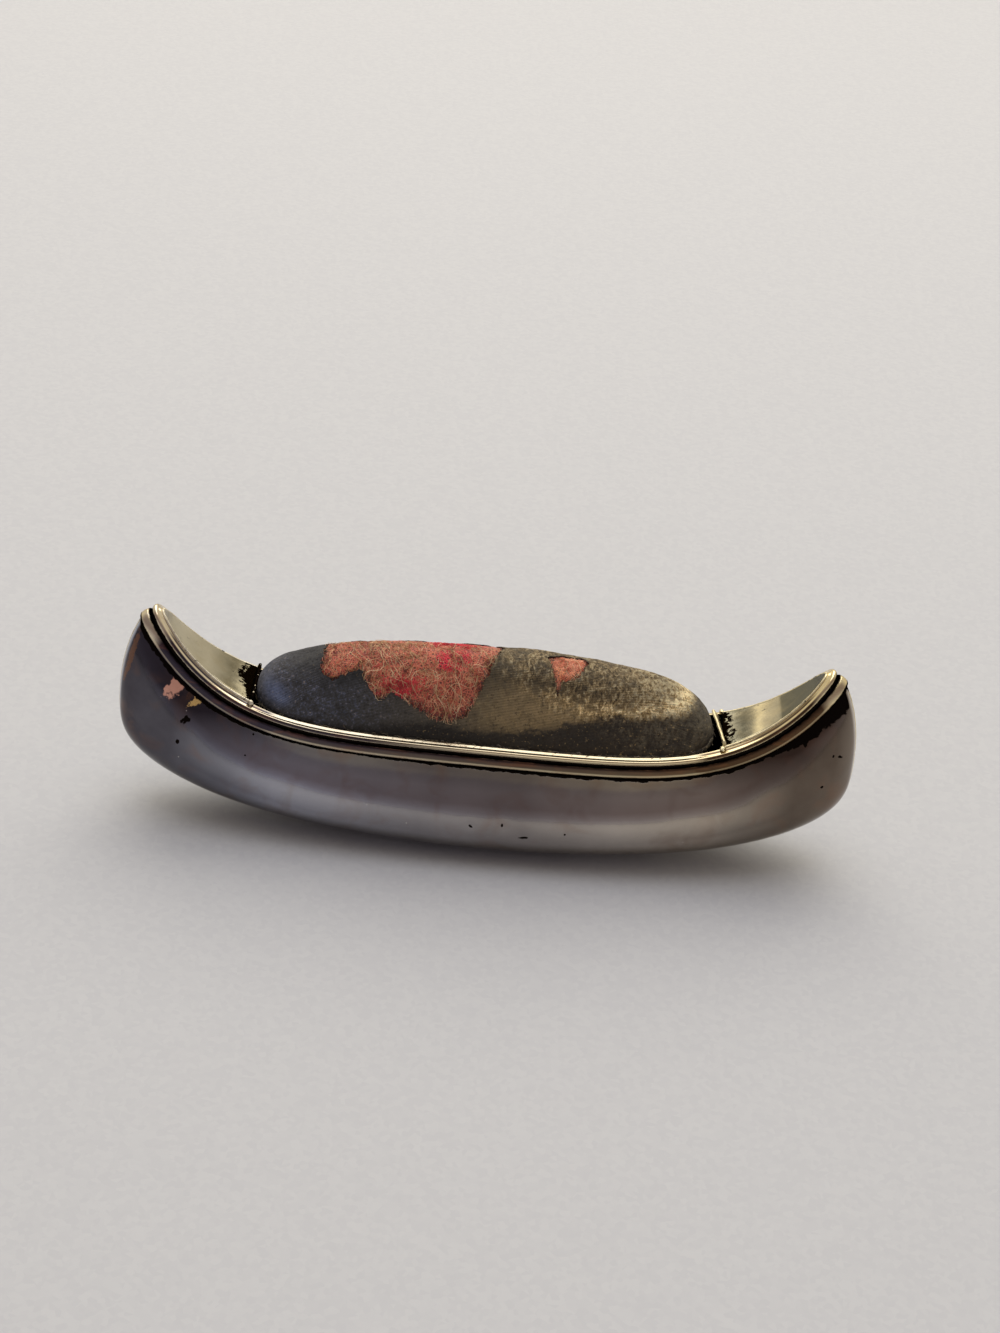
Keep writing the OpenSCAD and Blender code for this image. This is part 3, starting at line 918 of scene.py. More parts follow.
@dataclass(frozen=True)
class WornCloth(Finish):
    """Ribbed silk and cotton cloth, woven, dyed dark, and worn by a century of pins.

    It gives the eye fine ribs along the pad, painted lighter on their crowns and darker
    between them: mottled slate where the dye has lasted at the bow, with a painted blue
    sheen there, olive amidships, rubbed in streaks to tan and cream on the shoulder aft,
    with painted light on the shoulder and painted shade on the crest, and darker near its
    foot with soot and painted shade.
    """

    slate: str = "#3A393B"
    olive: str = "#6A5B40"
    earth: str = "#7D6843"
    tan: str = "#A98E5F"
    cream: str = "#DCCBA0"
    brown: str = "#46371F"
    # Colour of the painted blue sheen
    sheen_blue: str = "#6F7EA4"
    # Colour of soot, and of the painted shade above the foot
    soot_and_shade: str = "#110C08"
    # Ribs of a fine silk and cotton cloth are about 0.2 mm apart
    rib: float = 0.21

    def paint(self, tree: Tree, shader: Node, mm: Node) -> None:
        """Dye by place, wear in strokes, a painted blue sheen, soot and painted shade at the
        foot, and painted ribs.
        """
        chart = add(tree, "UVMap", uv_map="chart")
        along = add(tree, "SeparateXYZ", (mm,))
        rise = add(tree, "Attribute", attribute_name="rise").outputs["Fac"]
        clouds = add(tree, "TexNoise", (mm, 1 / 6.0, 4.0))
        # Pins and fingers rub it in short strokes that run over the pad
        combed = add(tree, "Mapping", {"Vector": chart, "Scale": (1.0, 0.6, 1.0)})
        strokes = add(tree, "TexNoise", (combed, 1 / 0.5, 6.0, 0.78, 2.0, 0.6))
        blots = add(tree, "TexNoise", (mm, 1 / 1.8, 6.0, 0.7, 2.0, 0.6))
        specks = add(tree, "TexNoise", (mm, 1 / 0.4, 3.0, 0.65))
        fore = add(tree, "MapRange", (along, -7.0, -22.0), **SMOOTH)
        aft = add(tree, "MapRange", (along, 2.0, 18.0), **SMOOTH)
        place = add(tree, "MapRange", (along, -31.0, 31.0))
        drift = summed(tree, place, (clouds, 0.22))
        stops = [(0.1, "#45444A"), (0.3, self.slate), (0.5, "#4C4539"), (0.62, self.olive)]
        dye = add(tree, "ValToRGB", (drift,), stops=[*stops, (1.0, self.earth)])
        # Wear: threads' crowns are tan or cream, and what lies between them is brown
        chips = add(tree, "MapRange", (along, 15.0, 30.0, 0.0, 0.13))
        chipped = add(tree, "Math", (strokes, chips), operation="ADD")
        stops = [(0.41, self.brown), (0.47, self.earth), (0.53, self.tan), (0.61, self.cream)]
        worn = add(tree, "ValToRGB", (chipped,), stops=stops)
        # It is rubbed most along the crest, and further down the further aft
        reach = add(tree, "Math", (along, 21.0), operation="MINIMUM")
        reach = summed(tree, rise, (reach, 0.5), (blots, 6.0))
        rubbed = add(tree, "MapRange", (reach, 12.6, 17.4), **SMOOTH)
        # It keeps its dye in patches
        keeps = add(tree, "MapRange", (blots, 0.41, 0.49, 0.3, 1.0))
        rubbed = product(tree, rubbed, keeps)
        # A painted blue sheen over the fore end, broken into specks, and one patch where it is
        # whole
        sheen_fleck = add(tree, "MapRange", (specks, 0.52, 0.64, 0.0, 0.36))
        shoulder = add(tree, "MapRange", (rise, 8.0, 5.0), **SMOOTH)
        flecked_sheen = product(tree, fore, shoulder, sheen_fleck)
        side = add(tree, "CombineXYZ", (along, rise))
        spot = away_from(tree, side, (-28.4, 3.0, 0), (2.6, 1.8, 1))
        whole_sheen = add(tree, "MapRange", (spot, 1.2, 0.2, 0.0, 0.5), **SMOOTH)
        painted_blue_sheen = add(tree, "Math", (flecked_sheen, whole_sheen), operation="MAXIMUM")
        # Soot and old polish, and painted shade, darken it above the foot, more towards the
        # stern
        climb = summed(tree, rise, (blots, -5.0), (aft, -3.3), (fore, 2.0))
        foot_soot_and_shade = add(tree, "MapRange", (climb, 1.1, -0.6, 0.0, 0.94), **SMOOTH)
        # Bare threads stand out pale, and dark crumbs of dirt fill the pits between them
        pale = add(tree, "MapRange", (specks, 0.62, 0.7, 0.0, 0.4))
        pits = add(tree, "MapRange", (specks, 0.42, 0.34, 0.0, 0.6))
        # Soot with painted shade, pale threads and dirt in the pits go on top
        over = ((foot_soot_and_shade, self.soot_and_shade), (pale, self.tan), (pits, self.soot_and_shade))
        # The painted blue sheen is laid over the dye and its wear
        colour = layered(tree, dye, (rubbed, worn), (painted_blue_sheen, self.sheen_blue), *over)
        # Bands of a wave texture are pi / 10 apart at a scale of 1
        scale = math.pi / 10 / self.rib
        ribs = add(tree, "TexWave", (chart, scale, 0.6, 2.0), bands_direction="Y")
        # Painted light and shade of the ribs: lighter on their crowns, darker between them
        shade = add(tree, "MapRange", (ribs, 0.0, 1.0, 0.6, 1.3))
        # Painted shade on the crest, and painted light on the shoulder below it, stronger aft
        crest = summed(tree, rise, (fore, 2.4), (aft, 1.6))
        shoulder_brightening = add(tree, "MapRange", (along, -16.0, 20.0, 1.1, 2.1))
        painted_light_by_height = add(tree, "MapRange", (crest, 7.4, 10.2, shoulder_brightening, 0.6), **SMOOTH)
        mottled = add(tree, "MapRange", (blots, 0.36, 0.62, 0.66, 1.22))
        shade = product(tree, shade, painted_light_by_height, mottled)
        # The painted light and shade, and the mottling, multiply the colour
        colour_with_painted_shade = add(tree, "Mix", (1.0, colour, shade), blend_type="MULTIPLY", **RGB)
        greasy = add(tree, "MapRange", (strokes, 0.35, 0.65, 0.9, 0.6))
        bumps = relief(tree, (ribs, 0.04), (strokes, 0.12), (blots, 0.18), (specks, 0.07))
        finish = {"Base Color": colour_with_painted_shade, "Roughness": greasy, "Normal": bumps}
        feed(tree, shader, finish | {"Sheen Weight": 0.03, "Sheen Roughness": 0.5})


@dataclass(frozen=True)
class WoolBatting(Finish):
    """Carded wool, dyed red, pressed flat under the cover and faded where it shows.

    It gives the eye a matt felt of brick and tan with painted shade in the gaps between its
    fibres.
    """

    brick: str = "#D06E54"
    tan: str = "#D19C6E"
    deep: str = "#7E231E"
    crimson: str = "#D9263A"
    coral: str = "#EC9468"
    # Colour of the painted shade in the gaps between fibres
    gap: str = "#2E0E0B"

    def paint(self, tree: Tree, shader: Node, mm: Node) -> None:
        """Faded patches, a crimson tuft and painted shade in the gaps between fibres."""
        patches = add(tree, "TexNoise", (mm, 1 / 3.2, 4.0))
        stops = [(0.3, self.deep), (0.45, self.brick), (0.62, self.brick), (0.76, self.tan)]
        faded = add(tree, "ValToRGB", (patches,), stops=stops)
        # Deeper red low down, from a height of 23 mm down to 20 mm
        axes = add(tree, "SeparateXYZ", (mm,)).outputs
        deep_low_down = add(tree, "MapRange", (axes["Z"], 23.0, 20.0, 0.0, 0.7), **SMOOTH)
        # The small tear's wool is the least faded, and coral
        small = add(tree, "MapRange", (axes["X"], 4.0, 7.0))
        tuft = away_from(tree, mm, (-5.2, -2.2, 27.0), (2.6, 2.6, 1.2))
        ragged = summed(tree, tuft, (patches, 1.2))
        bright = add(tree, "MapRange", (ragged, 1.75, 1.3), **SMOOTH)
        # Wool fibres are about 0.04 mm thick; gaps in their tangle are eight times that
        tangle = add(tree, "TexVoronoi", (mm, 1 / 0.34), feature="DISTANCE_TO_EDGE")
        # The gaps are painted dark, as shade between the fibres
        painted_gap_shade = add(tree, "MapRange", (tangle, 0.08, 0.36, 0.0, 0.92))
        dyes = ((deep_low_down, self.deep), (small, self.coral), (bright, self.crimson))
        colour = layered(tree, faded, *dyes, (painted_gap_shade, self.gap))
        felt = relief(tree, (tangle, -0.25))
        finish = {"Base Color": colour, "Roughness": 0.95, "Normal": felt}
        feed(tree, shader, finish | {"Sheen Weight": 0.25, "Sheen Roughness": 0.6})


@dataclass(frozen=True)
class Fibre(Finish):
    """Loose fibre or thread, spun or carded, in one dye lot.

    It gives the eye a fine matt line whose colour shifts a little along its length.
    """

    light: str = "#C07860"
    dark: str = "#8E4738"

    def paint(self, tree: Tree, shader: Node, mm: Node) -> None:
        """Colour that drifts between two shades, and a soft sheen."""
        drift = add(tree, "TexNoise", (mm, 1 / 1.3, 3.0))
        stops = [(0.36, self.dark), (0.62, self.light)]
        colour = add(tree, "ValToRGB", (drift,), stops=stops)
        feed(tree, shader, {"Base Color": colour, "Roughness": 0.75, "Sheen Weight": 0.2})


@dataclass(frozen=True)
class Crust(Finish):
    """Something that has set or dried in lumps, with its dust and dirt, or a torn edge.

    It gives the eye four shades in patches of one size, and a gloss that changes with
    them: wrinkled and bright on poured pitch, dull and flecked on dried glue, and matt
    on torn and sooty cloth.

    Args:
        shades: Its colours, from its hollows to its crowns.
        patch: Size of its patches in millimetres.
        gloss: Roughness of its hollows and of its crowns.
        depth: Height of its lumps in millimetres.
    """

    shades: tuple[str, str, str, str] = ("#1C1812", "#3D3527", "#7C6E52", "#B5A98C")
    patch: float = 0.9
    gloss: Pair = (0.35, 0.85)
    depth: float = 0.14

    def paint(self, tree: Tree, shader: Node, mm: Node) -> None:
        """Shades, gloss and lumps from one pattern."""
        lumps = add(tree, "TexNoise", (mm, 1 / self.patch, 6.0, 0.7))
        stops = list(zip((0.4, 0.52, 0.64, 0.76), self.shades))
        colour = add(tree, "ValToRGB", (lumps,), stops=stops)
        gloss = add(tree, "MapRange", (lumps, 0.0, 1.0, *self.gloss))
        bumps = relief(tree, (lumps, self.depth))
        feed(tree, shader, {"Base Color": colour, "Roughness": gloss, "Normal": bumps})


@dataclass(frozen=True)
class WhittledPine(Finish):
    """Pine, sawn and whittled to fit the hull.

    It gives the eye straw-coloured wood with darker lines where the rings run out.
    """

    # Growth rings of slow pine are 1 to 2 mm apart
    ring: float = 1.4

    def paint(self, tree: Tree, shader: Node, mm: Node) -> None:
        """Growth rings stretched along the block, and the grain they leave."""
        stretched = add(tree, "Mapping", {"Vector": mm, "Scale": (0.06, 1, 1)})
        # Rings of a wave texture are pi / 10 apart at a scale of 1
        turned = {"wave_type": "RINGS", "rings_direction": "X"}
        rings = add(tree, "TexWave", (stretched, math.pi / 10 / self.ring, 2.5, 3.0), **turned)
        stops = [(0.1, "#C9A26B"), (0.7, "#B98B52"), (1.0, "#94632F")]
        colour = add(tree, "ValToRGB", (rings,), stops=stops)
        grain = relief(tree, (rings, 0.02))
        feed(tree, shader, {"Base Color": colour, "Roughness": 0.7, "Normal": grain})


@dataclass(frozen=True)
class PressedFlakes(Finish):
    """Loose or pressed plant matter: straw board, packed sawdust or paper pulp.

    It gives the eye a matt surface of small flakes, each a shade of its own.

    Args:
        light: Colour of the palest flakes.
        dark: Colour of the darkest ones.
        flake: Size of a flake in millimetres.
        depth: Height of a flake above the next.
    """

    light: str = "#C9AD7C"
    dark: str = "#8D6E42"
    flake: float = 0.5
    depth: float = 0.06

    def paint(self, tree: Tree, shader: Node, mm: Node) -> None:
        """Flakes as cells, each with its own shade and height."""
        cells = add(tree, "TexVoronoi", (mm, 1 / self.flake))
        shade = add(tree, "SeparateColor", (cells.outputs["Color"],))
        colour = add(tree, "Mix", (shade, self.light, self.dark), **RGB)
        flakes = relief(tree, (cells, self.depth))
        feed(tree, shader, {"Base Color": colour, "Roughness": 0.88, "Normal": flakes})


PORT_SILVER = TarnishedSilver(
    "polished_silver_sheet",
    bare="#AEB0BB",
    bare_aft="#BAB0A2",
    bloom_fore="#423E45",
    bloom_aft="#574A40",
    tint="#82624F",
    bloom_share=0.14,
    tint_share=0.3,
    roughness=0.1,
    ragged=0.6,
    dust=0.8,
    marks=(
        Mark(-40.2, 16.1, 1.4, 0.6, 20),
        Mark(-40.2, 16.1, 0.55, 1.2, -15),
        Mark(-41.1, 12.9, 0.5, 0.6),
        Mark(-31.0, 14.9, 0.25, 0.3),
        Mark(-31.8, 12.5, 0.3, 0.25),
        Mark(47.5, 18.7, 0.7, 0.4, -30),
        Mark(46.6, 19.0, 0.35, 0.45),
        Mark(45.6, 14.5, 0.4, 0.4),
        Mark(-0.9, 6.6, 0.6, 0.3, -35),
        Mark(3.3, 7.1, 0.3, 0.6),
        Mark(6.3, 5.5, 1.3, 0.35, 5),
        Mark(11.8, 6.6, 0.3, 0.3),
    ),
    # These patches at the port bow are painted reflections, in pink, gold and copper
    reflections_and_stains=(
        Mark(-41.2, 20.9, 5.6, 1.9, 50, "#EFB49C"),
        Mark(-39.9, 19.1, 1.1, 0.7, 60, "#4A342C"),
        Mark(-38.8, 18.6, 2.4, 1.0, 36, "#EBC57C"),
        Mark(-48.2, 22.9, 0.7, 7.4, -14, "#6A4A3A"),
    ),
)
STARBOARD_SILVER = replace(
    PORT_SILVER,
    name="polished_silver_sheet_starboard",
    marks=(
        Mark(38.4, 13.1, 0.9, 0.5, 15),
        Mark(-12.0, 8.4, 0.4, 0.4),
        Mark(-44.0, 15.0, 0.5, 0.3),
    ),
    reflections_and_stains=(Mark(30.0, 16.5, 3.0, 1.2, -12, "#B99A80"),),
)
REED_SILVER = TarnishedSilver(
    "drawn_silver_reed",
    bare="#E6D8BC",
    bare_aft="#EFDDB0",
    bloom_fore="#3E3842",
    bloom_aft="#55412F",
    # Its copper streaks are partly tarnish tint and partly painted reflection of warm things
    tint="#A8693F",
    bloom_share=0.05,
    tint_share=0.2,
    roughness=0.12,
    cloud=2.0,
    ragged=0.1,
    lobe=1.2,
    dimple=0.012,
    drawn=5.0,
)
DECK_SILVER = TarnishedSilver(
    "hammered_silver_deck",
    bare="#E2DAC8",
    bare_aft="#CFC6AE",
    bloom_fore="#7B745F",
    bloom_aft="#6B6858",
    tint="#9C8C66",
    black="#1B160D",
    bloom_share=0.25,
    tint_share=0.25,
    roughness=0.085,
    cloud=6.0,
    ragged=1.2,
    lobe=0.8,
    dimple=0.03,
)
COAMING_SILVER = TarnishedSilver(
    "filed_silver_coaming",
    bare="#DCD3BC",
    bare_aft="#EADDB6",
    bloom_fore="#B3A588",
    bloom_aft="#B3A588",
    tint="#8E7A50",
    bloom_share=0.3,
    tint_share=0.25,
    roughness=0.4,
    cloud=2.0,
    ragged=0.5,
    lobe=0.8,
    dimple=0.02,
)
SOLDER = replace(COAMING_SILVER, name="run_silver_solder", bare="#E8E0CB", bloom_share=0.12)
COVER_CLOTH = WornCloth("worn_ribbed_cloth")
TORN_SHADES = ("#241B16", "#3E2F25", "#6A553F", "#7E6A50")
PITCH_SHADES = ("#14100D", "#1B1611", "#2B231C", "#3A3128")
GLUE_SHADES = ("#5C3A16", "#7E5A2C", "#A87A3C", "#B5A98C")
TORN_CLOTH = Crust("torn_cloth_edge", TORN_SHADES, patch=0.3, gloss=(0.9, 0.9), depth=0.08)
BATTING = WoolBatting("carded_red_wool")
GLUE_CRUST = Crust("dried_hide_glue")
TABLE_PAPER = PressedFlakes("studio_paper", "#CBCCCF", "#C6C7CB", flake=0.8, depth=0.0)


# ---- Hull ----


@dataclass
class Hull:
    """Two stamped half shells and the solder seam that joins them."""

    lines: Lines
    finishes: dict[Side, TarnishedSilver] = field(
        default_factory=lambda: {Side.PORT: PORT_SILVER, Side.STARBOARD: STARBOARD_SILVER}
    )
    seam_finish: TarnishedSilver = SOLDER
    stations: int = 300
    waterlines: int = 84
    wobble: float = 0.05
    # Dents as x, height, reach and depth
    dents: tuple[tuple[float, float, float, float], ...] = (
        (-0.9, 6.7, 1.3, 0.07),
        (3.4, 6.8, 1.6, 0.08),
        (6.3, 5.6, 2.0, 0.1),
        (-26.0, 9.0, 4.5, 0.1),
        (27.0, 8.0, 5.0, 0.1),
        (38.5, 12.0, 4.0, 0.12),
        (-39.0, 12.5, 3.5, 0.08),
    )
    # Width of the black band under the reeds, by x: tarnish, and amidships partly painted shade
    band: Table = (
        (-48.0, 0.8), (-43.0, 0.55), (-36.0, 0.45), (-27.0, 0.3), (-18.0, 0.3), (0.0, 0.42),
        (18.0, 0.5), (27.0, 0.5), (33.0, 0.5), (38.0, 0.5), (40.5, 0.85), (42.5, 1.35),
        (44.5, 1.6), (48.0, 2.6),
    )  # fmt: skip
    # How much darker the tarnish film is, by x: thickest towards the ends, and amidships partly
    # painted reflection
    film: Table = (
        (-50.0, 0.8), (-42.0, 0.74), (-36.0, 0.5), (-28.0, 0.06), (-20.0, 0.08), (-8.0, 0.26),
        (6.0, 0.28), (18.0, 0.0), (30.0, 0.04), (36.0, 0.42), (42.0, 0.74), (47.0, 0.8),
        (50.0, 0.6),
    )  # fmt: skip
    # How far down the painted shade of the reeds reaches, by x, and how much darker it is there
    shade: Table = ((-48, 3.6), (-40, 3.4), (-30, 3.0), (0, 3.4), (40, 2.4))
    painted_reed_shade: float = 0.42
    # Share of the way to the stem at which its corner turns bright
    rubbed_stem: Pair = (0.993, 0.997)
    # Painted reflection near the keel, by x: how much darker it makes it, and lighter where
    # negative
    keel_painted_reflection: Table = (
        (-50.0, 0.1), (-25.0, 0.6), (-8.0, 0.06), (12.0, -0.15), (30.0, -0.3), (50.0, 0.1),
    )  # fmt: skip
    # Outline of the bead in the seam: how far to the side, how proud and how far in
    bead: tuple[Triple, ...] = (
        (-1, -0.03, 0), (-0.8, 0.55, 0), (-0.35, 0.95, 0), (0, 1, 0), (0.35, 0.95, 0),
        (0.8, 0.55, 0), (1, -0.03, 0), (1, 0, 1), (-1, 0, 1),
    )  # fmt: skip

    def shell(self, side: Side) -> Piece:
        """Builds one half shell, with its dents and its blackened upper edge.

        Args:
            side: Which half it is.

        Returns:
            The half shell.
        """
        lines = self.lines
        u = crowded(self.stations + 1)[:, None]
        v = np.linspace(0, 1, self.waterlines + 1)[None, :]
        outer, inner = lines.skin(u, v, 0.0), lines.skin(u, v, lines.sheet)
        normal = sheet_normals(outer)
        normal *= np.where(normal[..., 1:2] > 0, 1, -1)
        # Its edges stay where the other pieces meet them
        free = ramp(np.abs(u), 1, 0.98) * ramp(v, 0, 0.06) * ramp(v, 1, 0.95)
        place = outer * [1, side.value, 1]
        sink = self.wobble * (0.5 + 0.5 * cloudy(place, 8.0, 3 + side.value, 2))
        for x, z, reach, depth in self.dents:
            away = np.hypot(outer[..., 0] - x * -side.value, outer[..., 2] - z) / reach
            sink = sink + depth * np.exp(-3 * away**2)
        outer = outer + normal * (np.maximum(0, sink) * free)[..., None]
        below = np.zeros(outer.shape[:2])
        below[:, :-1] = np.cumsum(steps_along(outer)[:, ::-1], 1)[:, ::-1]
        x = outer[..., 0] * -side.value
        width = looked_up(self.band, x)
        # Where the band is narrow its edge is straighter, so the shader's waves count less
        black = (width - below) * np.clip(0.75 / (0.15 + 0.35 * width), 1, 6)
        # Painted shade under the reeds darkens it further, most of all at the bow
        shade = ramp(below / looked_up(self.shade, x), 1, 0)
        film = looked_up(self.film, x) + self.painted_reed_shade * shade
        # Painted reflection near the keel
        film = film + looked_up(self.keel_painted_reflection, x) * ramp(v, 0.4, 0.1)
        # The stems' corners are rubbed bright
        corner = ramp(np.abs(u), *self.rubbed_stem) * ramp(v, 0.985, 0.975)
        film, black = film * (1 - corner), black - 4 * corner
        lips = np.stack([lines.lip(u[:, 0], inset) for inset in (0.0, lines.sheet)], 1)
        rings = np.concatenate([outer, lips, inner[:, ::-1]], 1)
        points, faces = sweep(rings * [1, -side.value, 1])
        # No cloth reaches its lip or its inside, which are black all over
        hidden = np.ones((len(u), 2 + inner.shape[1]))
        values = {
            "oxide": np.concatenate([black, 3 * hidden], 1),
            "film": np.concatenate([film, hidden], 1),
        }
        return make_piece(f"half_shell_{side.label}", points, faces, values, crease=38.0)

    def seam(self) -> Piece:
        """Builds the bead of solder that runs down both stems and along the keel."""
        lines = self.lines
        v = np.linspace(1, 0, 90)
        u = crowded(self.stations + 1)[1:-1]
        bow, stern = (
            np.concatenate([lines.lip(np.array([end]), 0.0), lines.skin(end, v, 0.0)])
            for end in (-1.0, 1.0)
        )
        path = np.concatenate([bow, lines.skin(u, np.zeros_like(u), 0.0), stern[::-1]])
        path[:, 1] = 0
        path = path[np.r_[True, steps_along(path) > 0.02]]
        way = unit(np.gradient(path, axis=0))
        out = way[:, ::-1] * [-1, 0, 1]
        # Out is away from a point over the middle of the hull
        out *= np.where((out * (path - [0, 0, 18.0])).sum(1, keepdims=True) > 0, 1, -1)
        proud = lines.stem_proud * ramp(np.abs(path[:, 0]), 41, 45)
        proud = proud * (0.8 + 0.2 * cloudy(path, 1.1, 9))
        side, rise, deep = np.array(self.bead).T
        depth = proud[:, None] * rise - lines.sheet * deep
        rings = path[:, None] + out[:, None] * depth[..., None]
        rings[..., 1] = lines.seam_half * side
        points, faces = sweep(rings)
        # It is black at the heads of the stems
        black = np.clip((path[:, 2:] - 26.5) / 2.0, -0.6, 0.6) - 0.3
        black = np.repeat(black, len(self.bead), 1)
        return make_piece("keel_and_stem_seam", points, faces, {"oxide": black}, crease=70.0)

    def build(self) -> list[Piece]:
        """Builds, dresses and returns the hull's pieces."""
        made = []
        for side, finish in self.finishes.items():
            node = f"hull_{side.label}"
            made.append(finish_piece(self.shell(side), "silver_sheet", (node,), finish))
        seam = finish_piece(self.seam(), "silver_solder", ("keel_seam",), self.seam_finish)
        return [*made, seam]


@dataclass
class Gunwale:
    """Two half-round reeds along each side, with a blackened groove between them."""

    lines: Lines
    finish: TarnishedSilver = REED_SILVER
    upper_height: float = 1.0
    groove: float = 0.45
    lower_height: float = 1.55
    fullness: float = 0.6
    stations: int = 340
    # Film on a reed's rounded face, by the angle up it: hands rub its upper side clean, and
    # the bright band lower down is a painted highlight and the dark round it painted shade
    upper_film_and_painted_light: Table = (
        (-90, 1.0), (-50, 1.0), (-40, 0.4), (-16, 0.35), (-6, 0.95), (40, 0.97), (60, 0.3),
        (72, 0), (90, 0),
    )  # fmt: skip
    # Film on its sloped top beside the decks, from its outer edge to its inner one
    top_film: tuple[float, ...] = (0.9, 0.9, 0.6, 0.05, 0.0, 0.0)
    # How much of that film each side has kept
    top_share: dict[Side, float] = field(
        default_factory=lambda: {Side.PORT: 1.0, Side.STARBOARD: 0.45}
    )
    # The lower reed: its bright band is a painted highlight, the dark round it painted shade
    lower_film_and_painted_light: Table = (
        (-90, 1.0), (-40, 1.0), (-32, 0.3), (-14, 0.25), (-6, 0.88), (50, 0.96), (90, 1.0),
    )  # fmt: skip
    # By the distance from amidships: the share of the film that is left, where there is
    # more of it beside the decks, and how much wider the black of the grooves is
    left: Table = ((0.0, 1.0), (0.94, 1.0), (0.965, 0.0))
    by_deck: Table = ((0.0, 0.0), (0.62, 0.0), (0.65, 1.0))
    thick: Table = ((0.0, 0.0), (0.5, 0.02), (1.0, 0.08))
    # How bright hands have rubbed the shoulder of the upper reed, from bow to stern
    worn: Table = ((-0.35, 0.0), (0.0, 1.0), (0.62, 1.0), (0.66, 0.0))

    def face(self, top: float, height: float) -> tuple[Array, Array, Array]:
        """Outline of a reed's rounded face, from its bottom to its top, and its angles."""
        lines = self.lines
        angle = np.linspace(-90, 90, 25)
        relief = lines.reed_relief - lines.solder_gap
        out = -relief + relief * np.maximum(0, np.cos(np.radians(angle))) ** self.fullness
        return out, top - height / 2 + height / 2 * np.sin(np.radians(angle)), angle

    def reed(self, side: Side, upper: bool) -> Piece:
        """Builds one reed.

        Args:
            side: The side of the canoe.
            upper: Whether it is the upper reed, which laps over the edge of the sheet.

        Returns:
            The reed.
        """
        lines = self.lines
        top = -lines.rim_slope if upper else -self.upper_height - self.groove
        height = self.upper_height - lines.rim_slope if upper else self.lower_height
        out, up, angle = self.face(top, height)
        # Film by angle, with painted highlights and painted shade in it
        film = looked_up(self.upper_film_and_painted_light if upper else self.lower_film_and_painted_light, angle)
        if upper:
            back = lines.reed_relief - lines.solder_gap
            # The top slopes up to an inner edge that is rubbed round
            wide, inner = lines.rim_width, lines.rim_width - lines.reed_lap / 3
            share = np.array([0.25, 0.5, 0.75, 0.93])
            edge_out = [*(-back - (inner - back) * share), 0.1 - wide, 0.03 - wide]
            edge_out += [-wide, -wide, -back]
            edge_up = [*(lines.rim_slope * (share - 1)), -0.008, -0.06, -0.16]
            edge_up += [-lines.reed_lap, -lines.reed_lap]
            black = np.clip(0.14 - (up - up[0]), -0.6, 0.3)
            black = np.r_[black, [-0.6] * 6, 0.2, 0.5, 0.5]
            film = np.r_[film, [0.0] * 6, 1, 1, 1]
            out, up = np.r_[out, edge_out], np.r_[up, edge_up]
        else:
            share = (up - up[0]) / height
            black = np.where(share > 0.5, (share - 0.93) * height, (0.17 - share) * height)
        u = crowded(self.stations + 1)[:, None]
        wear = 0.012 * cloudy(lines.beside_rim(u[:, 0], 0, 0), 3.0, 20 + upper)[:, None]
        rings = lines.beside_rim(u, out[None], up[None] + wear * (up[None] < -0.05))
        points, faces = sweep(rings * [1, -side.value, 1])
        label = f"{'upper' if upper else 'lower'}_reed_wire_{side.label}"
        # Tarnish thickens towards the ends, and is rubbed off their very tips
        left = looked_up(self.left, np.abs(u))
        film = film[None] * left
        by_deck = looked_up(self.by_deck, np.abs(u)) * left
        if upper:
            shoulder = ramp(np.r_[angle, np.full(len(edge_out), 90)], -12, 10)
            film = film * (1 - looked_up(self.worn, u * -side.value) * shoulder)
            on_top = slice(len(angle), len(angle) + len(self.top_film))
            film[:, on_top] += by_deck * self.top_film * self.top_share[side]
        else:
            film = film + 0.4 * by_deck
        values = {"oxide": black[None] + looked_up(self.thick, np.abs(u)), "film": film}
        return make_piece(label, points, faces, values, crease=75.0)

    def build(self) -> list[Piece]:
        """Builds, dresses and returns the four reeds."""
        made = []
        for side in Side:
            for upper in (True, False):
                node = f"{'upper' if upper else 'lower'}_reed_{side.label}"
                piece = self.reed(side, upper)
                made.append(finish_piece(piece, "silver_reed", (node,), self.finish))
        return made


